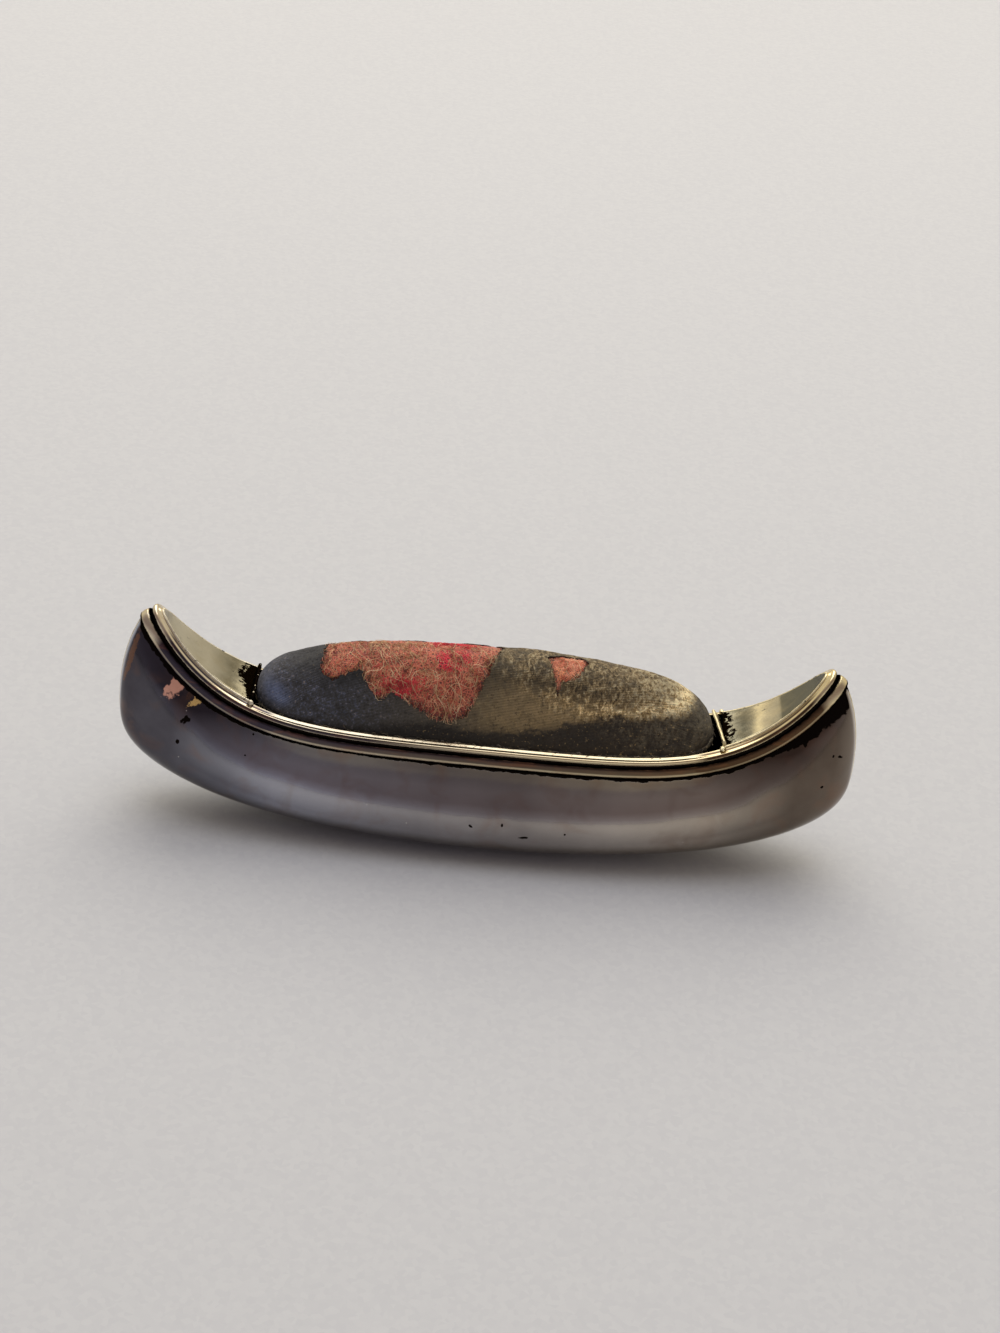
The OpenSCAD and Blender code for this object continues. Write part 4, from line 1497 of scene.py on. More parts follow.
@dataclass
class Deck:
    """A deck plate at one end, its coaming, and the solder that holds them."""

    lines: Lines
    end: End
    finish: TarnishedSilver = DECK_SILVER
    coaming_finish: TarnishedSilver = COAMING_SILVER
    solder_finish: TarnishedSilver = SOLDER
    plate: float = 0.5
    rise: float = 0.25
    coaming_thickness: float = 0.45
    coaming_rise: float = 0.75
    coaming_drop: float = 1.9
    # The after coaming was soldered askew: how far aft its port end is, and how much less
    # that becomes for each mm across
    astray: float = 0.3
    skew: float = 0.15
    stations: int = 90
    columns: int = 33
    # Radius of its rubbed edges
    round_off: float = 0.16
    # Width of the grime behind each coaming, by y from port to starboard
    grime: dict[End, Table] = field(
        default_factory=lambda: {
            End.FORE: ((-5.0, 0.4), (-2.0, 0.9), (0.5, 2.1), (2.5, 1.6), (5.0, 1.2)),
            End.AFT: ((-5.0, 0.95), (-2.0, 0.9), (5.0, 0.7)),
        }
    )
    # Film on the plate, by distance from the coaming
    film: dict[End, Table] = field(
        default_factory=lambda: {
            End.FORE: ((0.0, 0.85), (3.0, 0.75), (6.0, 0.2), (13.0, 0.0)),
            End.AFT: ((0.0, 0.75), (2.5, 0.6), (4.2, 0.1), (6.9, 0.2), (7.3, 1.0), (13.0, 1.0)),
        }
    )
    # Half sizes of the solder at the coaming's port end: a large blob aft, and forward a
    # folded corner of the plate
    port_blob: dict[End, Triple] = field(
        default_factory=lambda: {End.FORE: (0.42, 0.45, 0.42), End.AFT: (0.4, 0.62, 0.3)}
    )
    starboard_blob: Triple = (0.28, 0.42, 0.22)
    # Radius of the fillet of solder along the plate, and how much it swells and narrows
    fillet: float = 0.2
    fillet_waver: float = 0.035

    def edge(self, up: Array) -> Array:
        """The port edge of the aft deck, at a height above the gunwale."""
        first = self.lines.deck_start / self.lines.rim_half
        u = first + (1 - first) * np.sin(np.linspace(0, math.pi / 2, self.stations + 1))
        gap = self.lines.solder_gap
        points = self.lines.beside_rim(u, -self.lines.rim_width - gap, up)
        points[:, 1] = np.minimum(points[:, 1], -gap)
        return points

    def turned(self, points: Array) -> Array:
        """Points of the aft end, turned about for the fore end where that is this one."""
        return points * [self.end.value, 1, 1]

    def plate_piece(self) -> Piece:
        """Builds the plate: faintly crowned, with its long edges rubbed round."""
        top, bottom = self.edge(self.rise), self.edge(self.rise - self.plate)
        t = crowded(self.columns)
        breadth = -top[:, 1:2]
        curve = np.minimum(self.round_off, breadth / 2)
        from_edge = np.minimum(breadth * (1 - np.abs(t)), curve)
        drop = curve - np.sqrt(np.maximum(0, curve**2 - (curve - from_edge) ** 2))
        upper = top[:, None] - ((top - bottom) / self.plate)[:, None] * drop[..., None]
        upper[..., 1] = breadth * t
        lower = np.repeat(bottom[:, None], len(t[::-4]), 1)
        lower[..., 1] *= -t[::-4]
        rings = np.concatenate([upper, lower], 1)
        points, faces = sweep(self.turned(rings))
        # Grime gathers behind the coaming, and its underside is black all over
        away = rings[..., 0] - self.lines.deck_start
        black = looked_up(self.grime[self.end], rings[..., 1]) - away
        under = np.where(np.arange(rings.shape[1]) >= self.columns, 0.5, -1.0)[None]
        film = looked_up(self.film[self.end], away)
        values = {"oxide": np.maximum(black, under), "film": film}
        name = f"{self.end.label}_deck_plate"
        return make_piece(name, points, faces, values, crease=60.0)

    def coaming_piece(self) -> Piece:
        """Builds the coaming: a strip on edge with a rounded, filed top."""
        lines = self.lines
        start = lines.deck_start
        slope = float(lines.sheer_slope(np.array(start)))
        radius = self.coaming_thickness / 2
        inner = lines.beside_rim(start / lines.rim_half, -lines.rim_width - lines.pad_gap, 0.0)
        half = -float(inner[1])
        high = self.rise + self.coaming_rise - radius
        arc = np.radians(np.linspace(0, 180, 13))
        profile = [(radius, -self.coaming_drop)]
        profile += [(radius * math.cos(a), high + radius * math.sin(a)) for a in arc]
        profile += [(-radius, -self.coaming_drop)]
        profile = np.array(profile)
        across = np.linspace(-half, half, 61)[:, None]
        lean = math.atan(slope)
        origin = np.array([start, 0.0, float(lines.sheer(np.array(start)))])
        along = np.array([math.cos(lean), 0.0, math.sin(lean)])
        up = np.array([-math.sin(lean), 0.0, math.cos(lean)])
        place = across * [0, 1, 0] + [start, 0, 0]
        # Its top wanders and sags, and its foot stays where it was soldered
        wave = 0.06 * cloudy(place, 1.6, 31 + self.end.value)[:, None]
        if self.end is End.AFT:
            wave = wave + self.astray - self.skew * (across + half)
        sag = -0.07 * np.abs(cloudy(place, 0.9, 35 + self.end.value))[:, None]
        x, z = profile.T
        x = x - radius - lines.solder_gap + wave * (z > 0)
        black = np.broadcast_to(0.12 - z, x.shape)
        if self.end is End.FORE:
            # Old polish has set hard and black over the whole of this one
            black = black + 1.1
        z = z + sag * (z > 0)
        rings = origin + x[..., None] * along + z[..., None] * up
        rings[..., 1] += across
        points, faces = sweep(self.turned(rings))
        name = f"{self.end.label}_coaming_strip"
        return make_piece(name, points, faces, {"oxide": black}, crease=60.0)

    def blob(self, place: Array, size: Triple, seed: int) -> tuple[Array, Faces]:
        """A lump of solder.

        Args:
            place: Its middle.
            size: Its half sizes.
            seed: Which lumps it has.

        Returns:
            Points and faces.
        """
        polar = np.linspace(0.12, math.pi - 0.12, 19)[:, None]
        turn = np.linspace(0, 2 * math.pi, 29)[None, :-1]
        round_it = (np.cos(turn), np.sin(turn), np.ones_like(turn))
        heights = (np.sin(polar), np.sin(polar), np.cos(polar))
        ball = np.stack([a * b for a, b in zip(heights, round_it)], -1)
        lump = 1 + 0.3 * cloudy(ball * 0.9 + place, 0.7, seed)
        return sweep(place + ball * lump[..., None] * size)

    def solder_piece(self) -> Piece:
        """Builds the fillets along the plate's edges and a blob at each end of the coaming."""
        lines = self.lines
        path = self.edge(0.07)
        path[:, 1] -= 0.03
        path = path[np.r_[True, steps_along(path) > 0.03]]
        both = np.stack([path, path * [1, -1, 1]])
        radius = self.fillet + self.fillet_waver * cloudy(both, 1.4, 41 + self.end.value)
        points, faces = strands(both, radius, 10)
        at = lines.deck_start / lines.rim_half
        corner = lines.beside_rim(at - 0.004, -lines.rim_width * 0.7, 0.12)
        blobs = ((1, self.port_blob[self.end]), (-1, self.starboard_blob))
        for k, (sign, size) in enumerate(blobs):
            blob, blob_faces = self.blob(corner * [1, sign, 1], size, 43 + k)
            faces += [tuple(i + len(points) for i in f) for f in blob_faces]
            points = np.concatenate([points, blob])
        name = f"{self.end.label}_deck_solder"
        values = {"oxide": np.full(len(points), -0.25)}
        return make_piece(name, self.turned(points), faces, values, crease=80.0)

    def build(self) -> list[Piece]:
        """Builds, dresses and returns the pieces of this end."""
        end = self.end.label
        coaming = self.coaming_piece()
        return [
            finish_piece(self.plate_piece(), "silver_deck", (f"{end}_deck",), self.finish),
            finish_piece(coaming, "silver_coaming", (f"{end}_coaming",), self.coaming_finish),
            finish_piece(self.solder_piece(), "silver_solder", (), self.solder_finish),
        ]


# ---- Pad ----


def threads(name: str, slot: str, paths: Array, radii: Array, finish: Finish) -> Piece:
    """Builds and dresses a piece of loose threads or fibres.

    Args:
        name: Name of the piece.
        slot: The record's material slot; not used.
        paths: An array of paths by points by 3.
        radii: Radius of each path.
        finish: Its finish.

    Returns:
        The piece.
    """
    points, faces = strands(paths, radii)
    piece = make_piece(name, points, faces, crease=180.0)
    return finish_piece(piece, slot, (), finish)


@dataclass(frozen=True)
class DyeLot:
    """Loose wool of one colour: how much of it there is and how it lies.

    Args:
        name: Its colour's name.
        finish: Its finish.
        many: How many fibres lie in the large tear.
        few: How many lie in the small one.
        length: Shortest and longest fibre, in millimetres.
        lift: Lowest and highest rise above the wool.
        heading: Usual direction, in degrees from the pad's length.
        spread: How far directions stray from it.
        radius: Radius of a fibre; a real one is half as thick, too fine to see from here.
        low: Whether most of it lies along the large tear's lower edge.
    """

    name: str
    finish: Fibre
    many: int
    few: int
    length: Pair
    lift: Pair
    heading: float
    spread: float
    radius: float
    low: bool = False


@dataclass
class Pad:
    """The stuffed pad: its torn cover, its wool wadding and the fibres that have come loose."""

    lines: Lines
    tears: tuple[Tear, ...] = (LARGE_TEAR, SMALL_TEAR)
    cover_thickness: float = 0.36
    # Pins and rubbing have thinned the cloth that is left
    worn_thickness: float = 0.2
    cover_margin: float = 3.0
    layer_gap: float = 0.08
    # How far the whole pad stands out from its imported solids, like any stuffed cloth
    proud: float = 0.3
    wool_thickness: float = 1.6
    # Cells of the cover and of the wool, along and across
    cover_cells: tuple[int, int] = (124, 44)
    wool_cells: tuple[int, int] = (190, 76)
    # The cloth is worked at ten times its size, where the solver is steady
    work_scale: float = 10.0
    steps: int = 20
    # Stiff cloth, a little too wide for its stuffing, in air that soon stills it
    solver: dict[str, float | str] = field(
        default_factory=lambda: {
            "quality": 8,
            "mass": 0.25,
            "tension_stiffness": 40.0,
            "compression_stiffness": 40.0,
            "shear_stiffness": 15.0,
            "bending_stiffness": 0.5,
            "air_damping": 5.0,
            "shrink_min": -0.004,
            "use_pressure": True,
            "uniform_pressure_force": 0.5,
            "vertex_group_mass": "foot",
        }
    )
    most_moved: float = 0.3
    lots: tuple[DyeLot, ...] = (
        DyeLot(
            "brick", Fibre("brick_wool", "#E48A6A", "#6E2C20"),
            640, 40, (1.2, 3.4), (0.0, 0.25), 90, 60, 0.03,
        ),
        DyeLot(
            "coral", Fibre("coral_wool", "#FFBA98", "#DA7456"),
            340, 260, (1.2, 3.2), (0.0, 0.35), 80, 60, 0.034,
        ),
        DyeLot(
            "tan", Fibre("faded_tan_wool", "#F0C596", "#B07F4C"),
            560, 20, (1.4, 4.0), (0.05, 0.4), 95, 50, 0.026,
        ),
        DyeLot(
            "deep", Fibre("deep_red_wool", "#B3352F", "#5E1513"),
            440, 16, (1.0, 2.8), (-0.1, 0.2), 60, 60, 0.034, low=True,
        ),
        DyeLot(
            "straw", Fibre("straw_fibre", "#F5DCB0", "#CDA678"),
            60, 2, (4.0, 9.0), (0.25, 0.6), 105, 35, 0.031,
        ),
    )  # fmt: skip
    # The brightest lot lies in tufts only
    crimson: DyeLot = DyeLot(
        "crimson", Fibre("crimson_wool", "#F8424F", "#BC1429"),
        0, 0, (0.9, 2.2), (0.1, 0.5), 70, 70, 0.036,
    )  # fmt: skip
    # Middle and spread of each tuft in the chart of the tears, and its number of fibres
    tufts: tuple[tuple[Pair, Pair, int], ...] = (
        ((-5.3, 8.0), (1.6, 0.5), 480),
        ((-11.6, 0.5), (1.7, 0.6), 160),
    )
    # A pin hole that has grown between the two tears, as its middle and radius
    pin_hole: Triple = (5.3, -2.9, 26.5)
    pin_hole_radius: float = 0.26
    # Y beyond which no loose fibre reaches
    last_fibre: float = 2.6
    # Threads that hang from the torn edges: how many for each mm, and their radius
    fray_rate: float = 4.0
    fray_radius: float = 0.035
    # Bead of glue round the foot: its half width amidships, and how much wider it gets
    # for each mm further aft
    bead: float = 0.29
    bead_growth: float = 0.003

    def above_foot(self, points: Array) -> Array:
        """Height of points above the foot of the pad."""
        return points[:, 2] - self.lines.foot_level(points[:, 0] + self.lines.pad_shift)

    def torn(self, points: Array) -> Array:
        """How far inside the nearest tear points are, in mm, and below 0 outside."""
        return np.max([tear.depth_at(points) for tear in self.tears], 0)

    def simulated(self, sheet: Array) -> Array:
        """Stuffs the cover by a cloth simulation, held at its foot.

        Args:
            sheet: The cover's grid of points, in millimetres.

        Returns:
            The same grid, puffed and creased by no more than most_moved.
        """
        rows, columns = sheet.shape[:2]
        scale = self.work_scale * MM
        mesh = bpy.data.meshes.new("cover_in_work")
        points = (sheet.reshape(-1, 3) * scale).tolist()
        mesh.from_pydata(points, [], strip_faces(rows, columns))
        work = placed("cover_in_work", mesh)
        held = np.zeros((rows, columns), bool)
        held[[0, -1]] = True
        held[:, [0, -1]] = True
        foot = work.vertex_groups.new(name="foot")
        foot.add(np.flatnonzero(held.ravel()).tolist(), 1.0, "REPLACE")
        cloth = work.modifiers.new("stuffing", "CLOTH")
        for key, value in self.solver.items():
            setattr(cloth.settings, key, value)
        cloth.settings.effector_weights.gravity = 0.0
        cloth.collision_settings.use_collision = False
        scene = bpy.context.scene
        for step in range(1, self.steps + 1):
            scene.frame_set(step)
        ready = work.evaluated_get(bpy.context.evaluated_depsgraph_get())
        moved = read(ready.data.vertices, "co", 3).reshape(sheet.shape) / scale - sheet
        bpy.data.objects.remove(work)
        scene.frame_set(1)
        reach = np.linalg.norm(moved, axis=-1, keepdims=True)
        LOG.info(
            "cover simulated: moved %.2f mm, and up to %.2f mm, before the cap",
            float(reach.mean()),
            float(reach.max()),
        )
        capped = self.most_moved * np.tanh(reach / self.most_moved)
        return sheet + moved * capped / np.maximum(reach, 1e-9)

    def opened(self, points: Array) -> Array:
        """How far inside the nearest hole points are, in mm, with its ragged edge."""
        depth = self.torn(points)
        near = np.abs(depth) < 1.5
        jag = np.zeros(len(depth))
        jag[near] = 0.24 * cloudy(points[near], 0.55, 51) + 0.12 * cloudy(points[near], 1.6, 52)
        hole = self.pin_hole_radius - np.linalg.norm(points - self.pin_hole, axis=1)
        return np.maximum(depth + jag, hole)

    def cover(self) -> Piece:
        """Builds the cover: stuffed, torn, frayed at its holes and turned in at its foot."""
        sheet = self.lines.pad_sheet(*self.cover_cells, 0.0)
        # The ribs run along the pad, so the chart keeps x and the distance over it
        arc = np.zeros(sheet.shape[:2])
        arc[:, 1:] = np.cumsum(steps_along(sheet[..., 1:]), 1)
        chart = np.stack([sheet[..., 0], arc], -1)
        stuffed = self.simulated(sheet)
        faces = strip_faces(*stuffed.shape[:2])
        coarse = make_piece("pad_cover_cloth", stuffed, faces, chart=chart)
        finer = coarse.modifiers.new("finer", "SUBSURF")
        finer.levels = finer.render_levels = 2
        fine = applied(coarse)
        points = read(fine.vertices, "co", 3) / MM
        normals = read(fine.vertex_normals, "vector", 3)
        if normals[:, 2].sum() < 0:
            normals = -normals
        rise = self.above_foot(points)
        # Lumps of stuffing and small puckers die away at its foot and its ends
        lift = self.proud + 0.14 * cloudy(points, 5.5, 61) + 0.05 * cloudy(points, 1.5, 62, 2)
        lift = lift * np.maximum(0.2, ramp(np.abs(points[:, 0]), 30.6, 28.1))
        # The edge of each tear has lifted, and at the crest it is pressed down
        depth = self.opened(points)
        up = LARGE_TEAR.up(points[:, 1], points[:, 2])
        lifted = (0.05 + 0.14 * cloudy(points, 2.4, 63, 2)) * ramp(up, 7.4, 5.8)
        curl = lifted * np.exp(-((depth / 0.7) ** 2))
        curl = curl - 0.18 * ramp(up, 6.2, 7.0) * np.exp(-((depth / 1.2) ** 2))
        points = points + normals * ((lift + curl) * ramp(rise, 0, 1.2))[:, None]
        corners = read(fine.loops, "vertex_index", 1, np.int32).reshape(-1, 4)
        per_point = np.zeros((len(points), 2))
        per_point[corners.ravel()] = read(fine.uv_layers[0].data, "uv", 2)
        kept = corners[(depth[corners] > 0).sum(1) < 3]
        points, kept, per_point, rise = self.skirted(points, kept, per_point, rise)
        used = np.unique(kept)
        renumber = np.full(len(points), -1)
        renumber[used] = np.arange(len(used))
        bpy.data.objects.remove(coarse)
        piece = make_piece(
            "pad_cover_cloth",
            points[used],
            as_faces(renumber[kept]),
            {"rise": rise[used]},
            per_point[used],
        )
        thick = piece.modifiers.new("cloth", "SOLIDIFY")
        thick.thickness = self.worn_thickness * MM
        thick.offset = -1.0
        thick.material_offset = thick.material_offset_rim = 1
        piece.data.materials.append(COVER_CLOTH.material())
        piece.data.materials.append(TORN_CLOTH.material())
        old, piece.data = piece.data, applied(piece)
        bpy.data.meshes.remove(old)
        finish_piece(piece, "cover_cloth", ("pad_cover",))
        return piece

    def skirted(
        self, points: Array, faces: Array, chart: Array, rise: Array
    ) -> tuple[Array, Array, Array, Array]:
        """Adds the part of the cover that goes down inside the gunwale and in under the card.

        Args:
            points: Points of the cover.
            faces: Its four-sided faces.
            chart: Its two map numbers for each point.
            rise: Height of each point above the foot.

        Returns:
            The same four with the skirt added.
        """
        pairs = np.concatenate([faces[:, [k, (k + 1) % 4]] for k in range(4)])
        keys = {tuple(p) for p in pairs.tolist()}
        rim = [(a, b) for a, b in keys if (b, a) not in keys and max(rise[a], rise[b]) < 0.02]
        rim.sort()
        names = sorted({a for pair in rim for a in pair})
        index = {name: k for k, name in enumerate(names)}
        top = points[names]
        # The way in, bent towards the pad's long middle line
        inward = unit(top[:, :2] / [64, 1])
        down = top.copy()
        down[:, 2] = self.lines.block_top + self.cover_thickness
        under = down.copy()
        under[:, :2] -= inward * self.cover_margin
        turned_down = len(points) + np.arange(len(names))
        rings = [np.array(names), turned_down, turned_down + len(names)]
        more = [
            (upper[index[b]], upper[index[a]], lower[index[a]], lower[index[b]])
            for upper, lower in zip(rings, rings[1:])
            for a, b in rim
        ]
        # How much further round the cloth each ring is than the foot
        on, further = 3.5, 6.5
        return (
            np.concatenate([points, down, under]),
            np.concatenate([faces, np.array(more)]),
            np.concatenate([chart, chart[names] - [0, on], chart[names] - [0, further]]),
            np.concatenate([rise, rise[names] - on, rise[names] - further]),
        )

    def wadding(self) -> Piece:
        """Builds the wool: pressed smooth under the cover and lumpy where it shows."""
        inset = self.cover_thickness + self.layer_gap
        outer = self.lines.pad_sheet(*self.wool_cells, inset)
        inner = self.lines.pad_sheet(*self.wool_cells, inset + self.wool_thickness)
        flat = outer.reshape(-1, 3)
        shown = ramp(self.torn(flat), -0.2, 0.35)
        lumps = 0.14 * cloudy(flat, 1.5, 71, 4) + 0.07 * cloudy(flat, 0.6, 72, 2)
        free = ramp(self.above_foot(flat), 0, 1.6)
        lift = (shown * (self.proud + 0.3 + lumps) - (1 - shown) * 0.15) * free
        outer = outer + sheet_normals(outer) * lift.reshape(outer.shape[:2])[..., None]
        # Its edge goes straight down to the card, outside and inside
        size = len(flat)
        rim = edge_round(np.arange(size).reshape(outer.shape[:2]))
        sheets = np.concatenate([outer.reshape(-1, 3), inner.reshape(-1, 3)])
        low = sheets[np.concatenate([rim, size + rim])]
        low[:, 2] = self.lines.card_top
        points = np.concatenate([sheets, low])
        faces = strip_faces(*outer.shape[:2])
        faces += [f[::-1] for f in strip_faces(*outer.shape[:2], size)]
        foot = 2 * size + np.arange(len(rim))
        chain = [rim, foot, foot + len(rim), size + rim]
        for upper, lower in zip(chain, chain[1:]):
            ring = (np.roll(upper, -1), upper, lower, np.roll(lower, -1))
            faces += as_faces(np.stack(ring, 1))
        piece = make_piece("wool_batting", points, faces, crease=80.0)
        finish_piece(piece, "red_wool", ("wool_wadding",), BATTING)
        return piece

    def on_side(self, x: Array, up: Array, inset: float) -> tuple[Array, Array]:
        """Points of the pad's port side from the chart of its tears.

        Args:
            x: X in millimetres.
            up: Distance up the tilted side.
            inset: Distance in from the outside of the cover.

        Returns:
            The points, and the direction out of the pad at each.
        """
        own = x + self.lines.pad_shift
        breadth = self.lines.pad_breadth(own, inset)

        def height(ahead: float, y: Array) -> Array:
            """Height of the pad a step further along it."""
            return self.lines.pad_top(own + ahead, y, inset)

        def short(y: Array) -> Array:
            """Whether the pad at y lies lower in the chart than it should."""
            return LARGE_TEAR.up(y, height(0, y)) < up

        y = bisected(-breadth * 0.9999, breadth * 0.75, short)
        step = 0.02
        fall_x = (height(-step, y) - height(step, y)) / (2 * step)
        fall_y = (height(0, y - step) - height(0, y + step)) / (2 * step)
        normal = unit(np.stack([fall_x, fall_y, np.ones_like(y)], -1))
        return np.stack([x, y, height(0, y)], -1) + normal * self.proud, normal

    def curls(self, rng: np.random.Generator, starts: Array, lot: DyeLot) -> Array:
        """Curling paths of fibres that lie on the wool.

        Args:
            rng: The random numbers to draw from.
            starts: Where each fibre's middle lies, in the chart of the tears.
            lot: How they lie.

        Returns:
            An array of paths by points by 3.
        """
        count, steps = len(starts), 13
        s = np.linspace(-0.5, 0.5, steps + 1)[None, :]
        size = rng.uniform(*lot.length, count)[:, None]
        turn = np.radians(rng.normal(lot.heading, lot.spread, count))[:, None]
        bend = rng.normal(0, 1.5, count)[:, None]
        wave = rng.uniform(0.3, 1.0, count)[:, None]
        phase = rng.uniform(0, 6.3, count)[:, None]
        pace = rng.uniform(6, 13, count)[:, None]
        angle = turn + bend * s + wave * np.sin(pace * s + phase)
        step = size / steps
        x = starts[:, :1] + np.cumsum(np.cos(angle) * step, 1) - size / 2 * np.cos(turn)
        up = starts[:, 1:] + np.cumsum(np.sin(angle) * step, 1) - size / 2 * np.sin(turn)
        # Fibres that would run past the far edge fold back
        edge = np.minimum(LARGE_TEAR.far_edge(x) - 0.3, self.last_fibre)
        top = self.lines.pad_top(x + self.lines.pad_shift, edge, self.cover_thickness)
        last = LARGE_TEAR.up(edge, top)
        up = last - np.abs(last - up)
        points, normal = self.on_side(x, up, self.cover_thickness + self.layer_gap)
        rise = rng.uniform(*lot.lift, count)[:, None] * np.maximum(0.4, ramp(up, 8, 6))
        rise = 0.2 + rise * (1 - (2 * s) ** 2) * (0.7 + 0.3 * np.sin(pace * s * 1.3 + phase))
        # A fibre that runs past the hole's edge dives under the cover
        depth = np.max([tear.depth(x, up) for tear in self.tears], 0)
        dive = np.minimum(rise, np.maximum(rise + depth * 1.2, -0.3))
        rise = np.where(depth > 0.1, rise, dive)
        return points + normal * rise[..., None]

    def fibres(self) -> list[Piece]:
        """Builds the loose wool in the tears, in a few dye lots, and the fray round them."""
        rng = np.random.default_rng(29)
        large, small = self.tears
        made = []
        for lot in self.lots:
            starts = large.scatter(rng, lot.many, 0.25)
            if lot.low:
                # Half of this lot lies crowded along the lower edge
                order = np.argsort(large.depth(*starts.T) + 0.5 * starts[:, 1])
                starts = np.concatenate([starts[order[: lot.many // 2]], starts[::2]])
            starts = np.concatenate([starts, small.scatter(rng, lot.few, 0.2)])
            paths = self.curls(rng, starts, lot)
            thick = lot.radius * rng.uniform(0.8, 1.25, len(paths))
            name = f"loose_wool_{lot.name}"
            made.append(threads(name, "red_wool", paths, thick, lot.finish))
        tuft = np.concatenate(
            [rng.normal(middle, spread, (tried, 2)) for middle, spread, tried in self.tufts]
        )
        tuft = tuft[large.depth(*tuft.T) > 0.1]
        lot = self.crimson
        paths, thick = self.curls(rng, tuft, lot), np.full(len(tuft), lot.radius)
        made.append(threads("loose_wool_crimson", "red_wool", paths, thick, lot.finish))
        return [*made, self.fray(rng)]

    def fray(self, rng: np.random.Generator) -> Piece:
        """Builds the thread ends that hang from the torn edges."""
        starts, headings = [], []
        for tear in self.tears:
            corners = np.array(tear.outline)
            for a, b in zip(corners, np.roll(corners, -1, 0)):
                length = float(np.linalg.norm(b - a))
                share = rng.uniform(0, 1, int(length * self.fray_rate))[:, None]
                place = a + (b - a) * share
                normal = np.array([-(b - a)[1], (b - a)[0]]) / length
                probe = place + normal * 0.2
                inward = np.where(tear.depth(*probe.T) > 0, 1, -1)[:, None]
                starts.append(place)
                headings.append(np.degrees(np.arctan2(*(normal * inward).T[::-1])))
        starts, headings = np.concatenate(starts), np.concatenate(headings)
        count = len(starts)
        s = np.linspace(0, 1, 7)[None, :]
        size = rng.uniform(0.25, 0.8, count)[:, None]
        turn = np.radians(headings + rng.normal(0, 35, count))[:, None]
        turn = turn + rng.normal(0, 0.8, count)[:, None] * s
        x = starts[:, :1] + np.cumsum(np.cos(turn) * size / 6, 1)
        up = starts[:, 1:] + np.cumsum(np.sin(turn) * size / 6, 1)
        points, normal = self.on_side(x, up, 0.2)
        # Threads on the crest lie flat
        low = np.maximum(0.12, ramp(starts[:, 1:], 7, 5))
        rise = 0.1 * low + rng.uniform(-0.3, 0.3, count)[:, None] * s * low
        paths, thick = points + normal * rise[..., None], np.full(count, self.fray_radius)
        finish = Fibre("sooty_thread", "#4A4234", "#1B1713")
        return threads("torn_cover_threads", "cover_cloth", paths, thick, finish)

    def foot_line(self, count: int) -> tuple[Array, Array]:
        """Points round the foot of the pad, and the way out of it at each."""
        ring = edge_round(self.lines.pad_sheet(240, 80, 0.0))
        step = np.r_[0, np.cumsum(steps_along(ring))]
        at = np.linspace(0, step[-1], count, endpoint=False)
        even = np.stack([np.interp(at, step, ring[:, k]) for k in range(3)], 1)
        way = np.roll(even, -1, 0) - np.roll(even, 1, 0)
        return even, unit(np.stack([way[:, 1], -way[:, 0], np.zeros(count)], 1))

    def foot(self) -> list[Piece]:
        """Builds the crust of glue round the pad's foot, and the lint caught in it."""
        path, out = self.foot_line(900)
        # It laps over the gunwale in scallops, more of them towards the stern
        scallops = 0.14 * cloudy(path, 1.8, 81) + 0.09 * cloudy(path, 0.5, 82)
        bulge = np.maximum(0.1, self.bead + self.bead_growth * path[:, 0] + scallops)
        up = np.array([0, 0, 1.0])
        turn = np.linspace(0, 2 * math.pi, 12, endpoint=False)[:, None]
        round_it = out[:, None] * np.cos(turn) * 0.9 + up * np.sin(turn) * 1.1
        centre = path - out * 0.05 + up * 0.18
        rings = centre[:, None] + bulge[:, None, None] * round_it
        # Each lump of the crust is rough all over
        rings = rings + 0.07 * cloudy(rings, 0.4, 83, 2)[..., None] * out[:, None]
        points, faces = sweep(rings, closed=True)
        crust = make_piece("glue_crust", points, faces, crease=80.0)
        made = [finish_piece(crust, "hide_glue", (), GLUE_CRUST)]
        rng = np.random.default_rng(7)
        olive = Fibre("olive_thread", "#8A7F66", "#3A3427")
        pale = Fibre("pale_lint", "#CDBFB2", "#8C7F79")
        kinds = (
            ("selvedge_fray", olive, 700, 0.3, 1.3, 0.034),
            ("caught_lint", pale, 110, 0.3, 1.1, 0.028),
        )
        for name, finish, count, short, long, radius in kinds:
            pick = rng.integers(0, len(path), count)
            s = np.linspace(0, 1, 7)[None, :, None]
            way = np.cross(out[pick], up)
            size = rng.uniform(short, long, count)[:, None, None]
            stray = rng.normal(0, 0.3, (count, 1, 1)) * out[pick][:, None]
            stray = stray + rng.normal(0, 0.25, (count, 1, 1)) * up
            pace = rng.uniform(3, 9, (count, 1, 1))
            wave = 0.1 * np.sin(s * pace + rng.uniform(0, 6, (count, 1, 1)))
            base = path[pick] + out[pick] * rng.uniform(-0.2, 0.2, (count, 1))
            base[:, 2] += rng.uniform(0.2, 0.6, count)
            paths = base[:, None] + size * s * (way[:, None] + stray) + wave * up
            thick = np.full(count, radius)
            made.append(threads(name, "cover_cloth", paths, thick, finish))
        return made

    def build(self) -> list[Piece]:
        """Builds, dresses and returns the pad's pieces."""
        return [self.cover(), self.wadding(), *self.fibres(), *self.foot()]


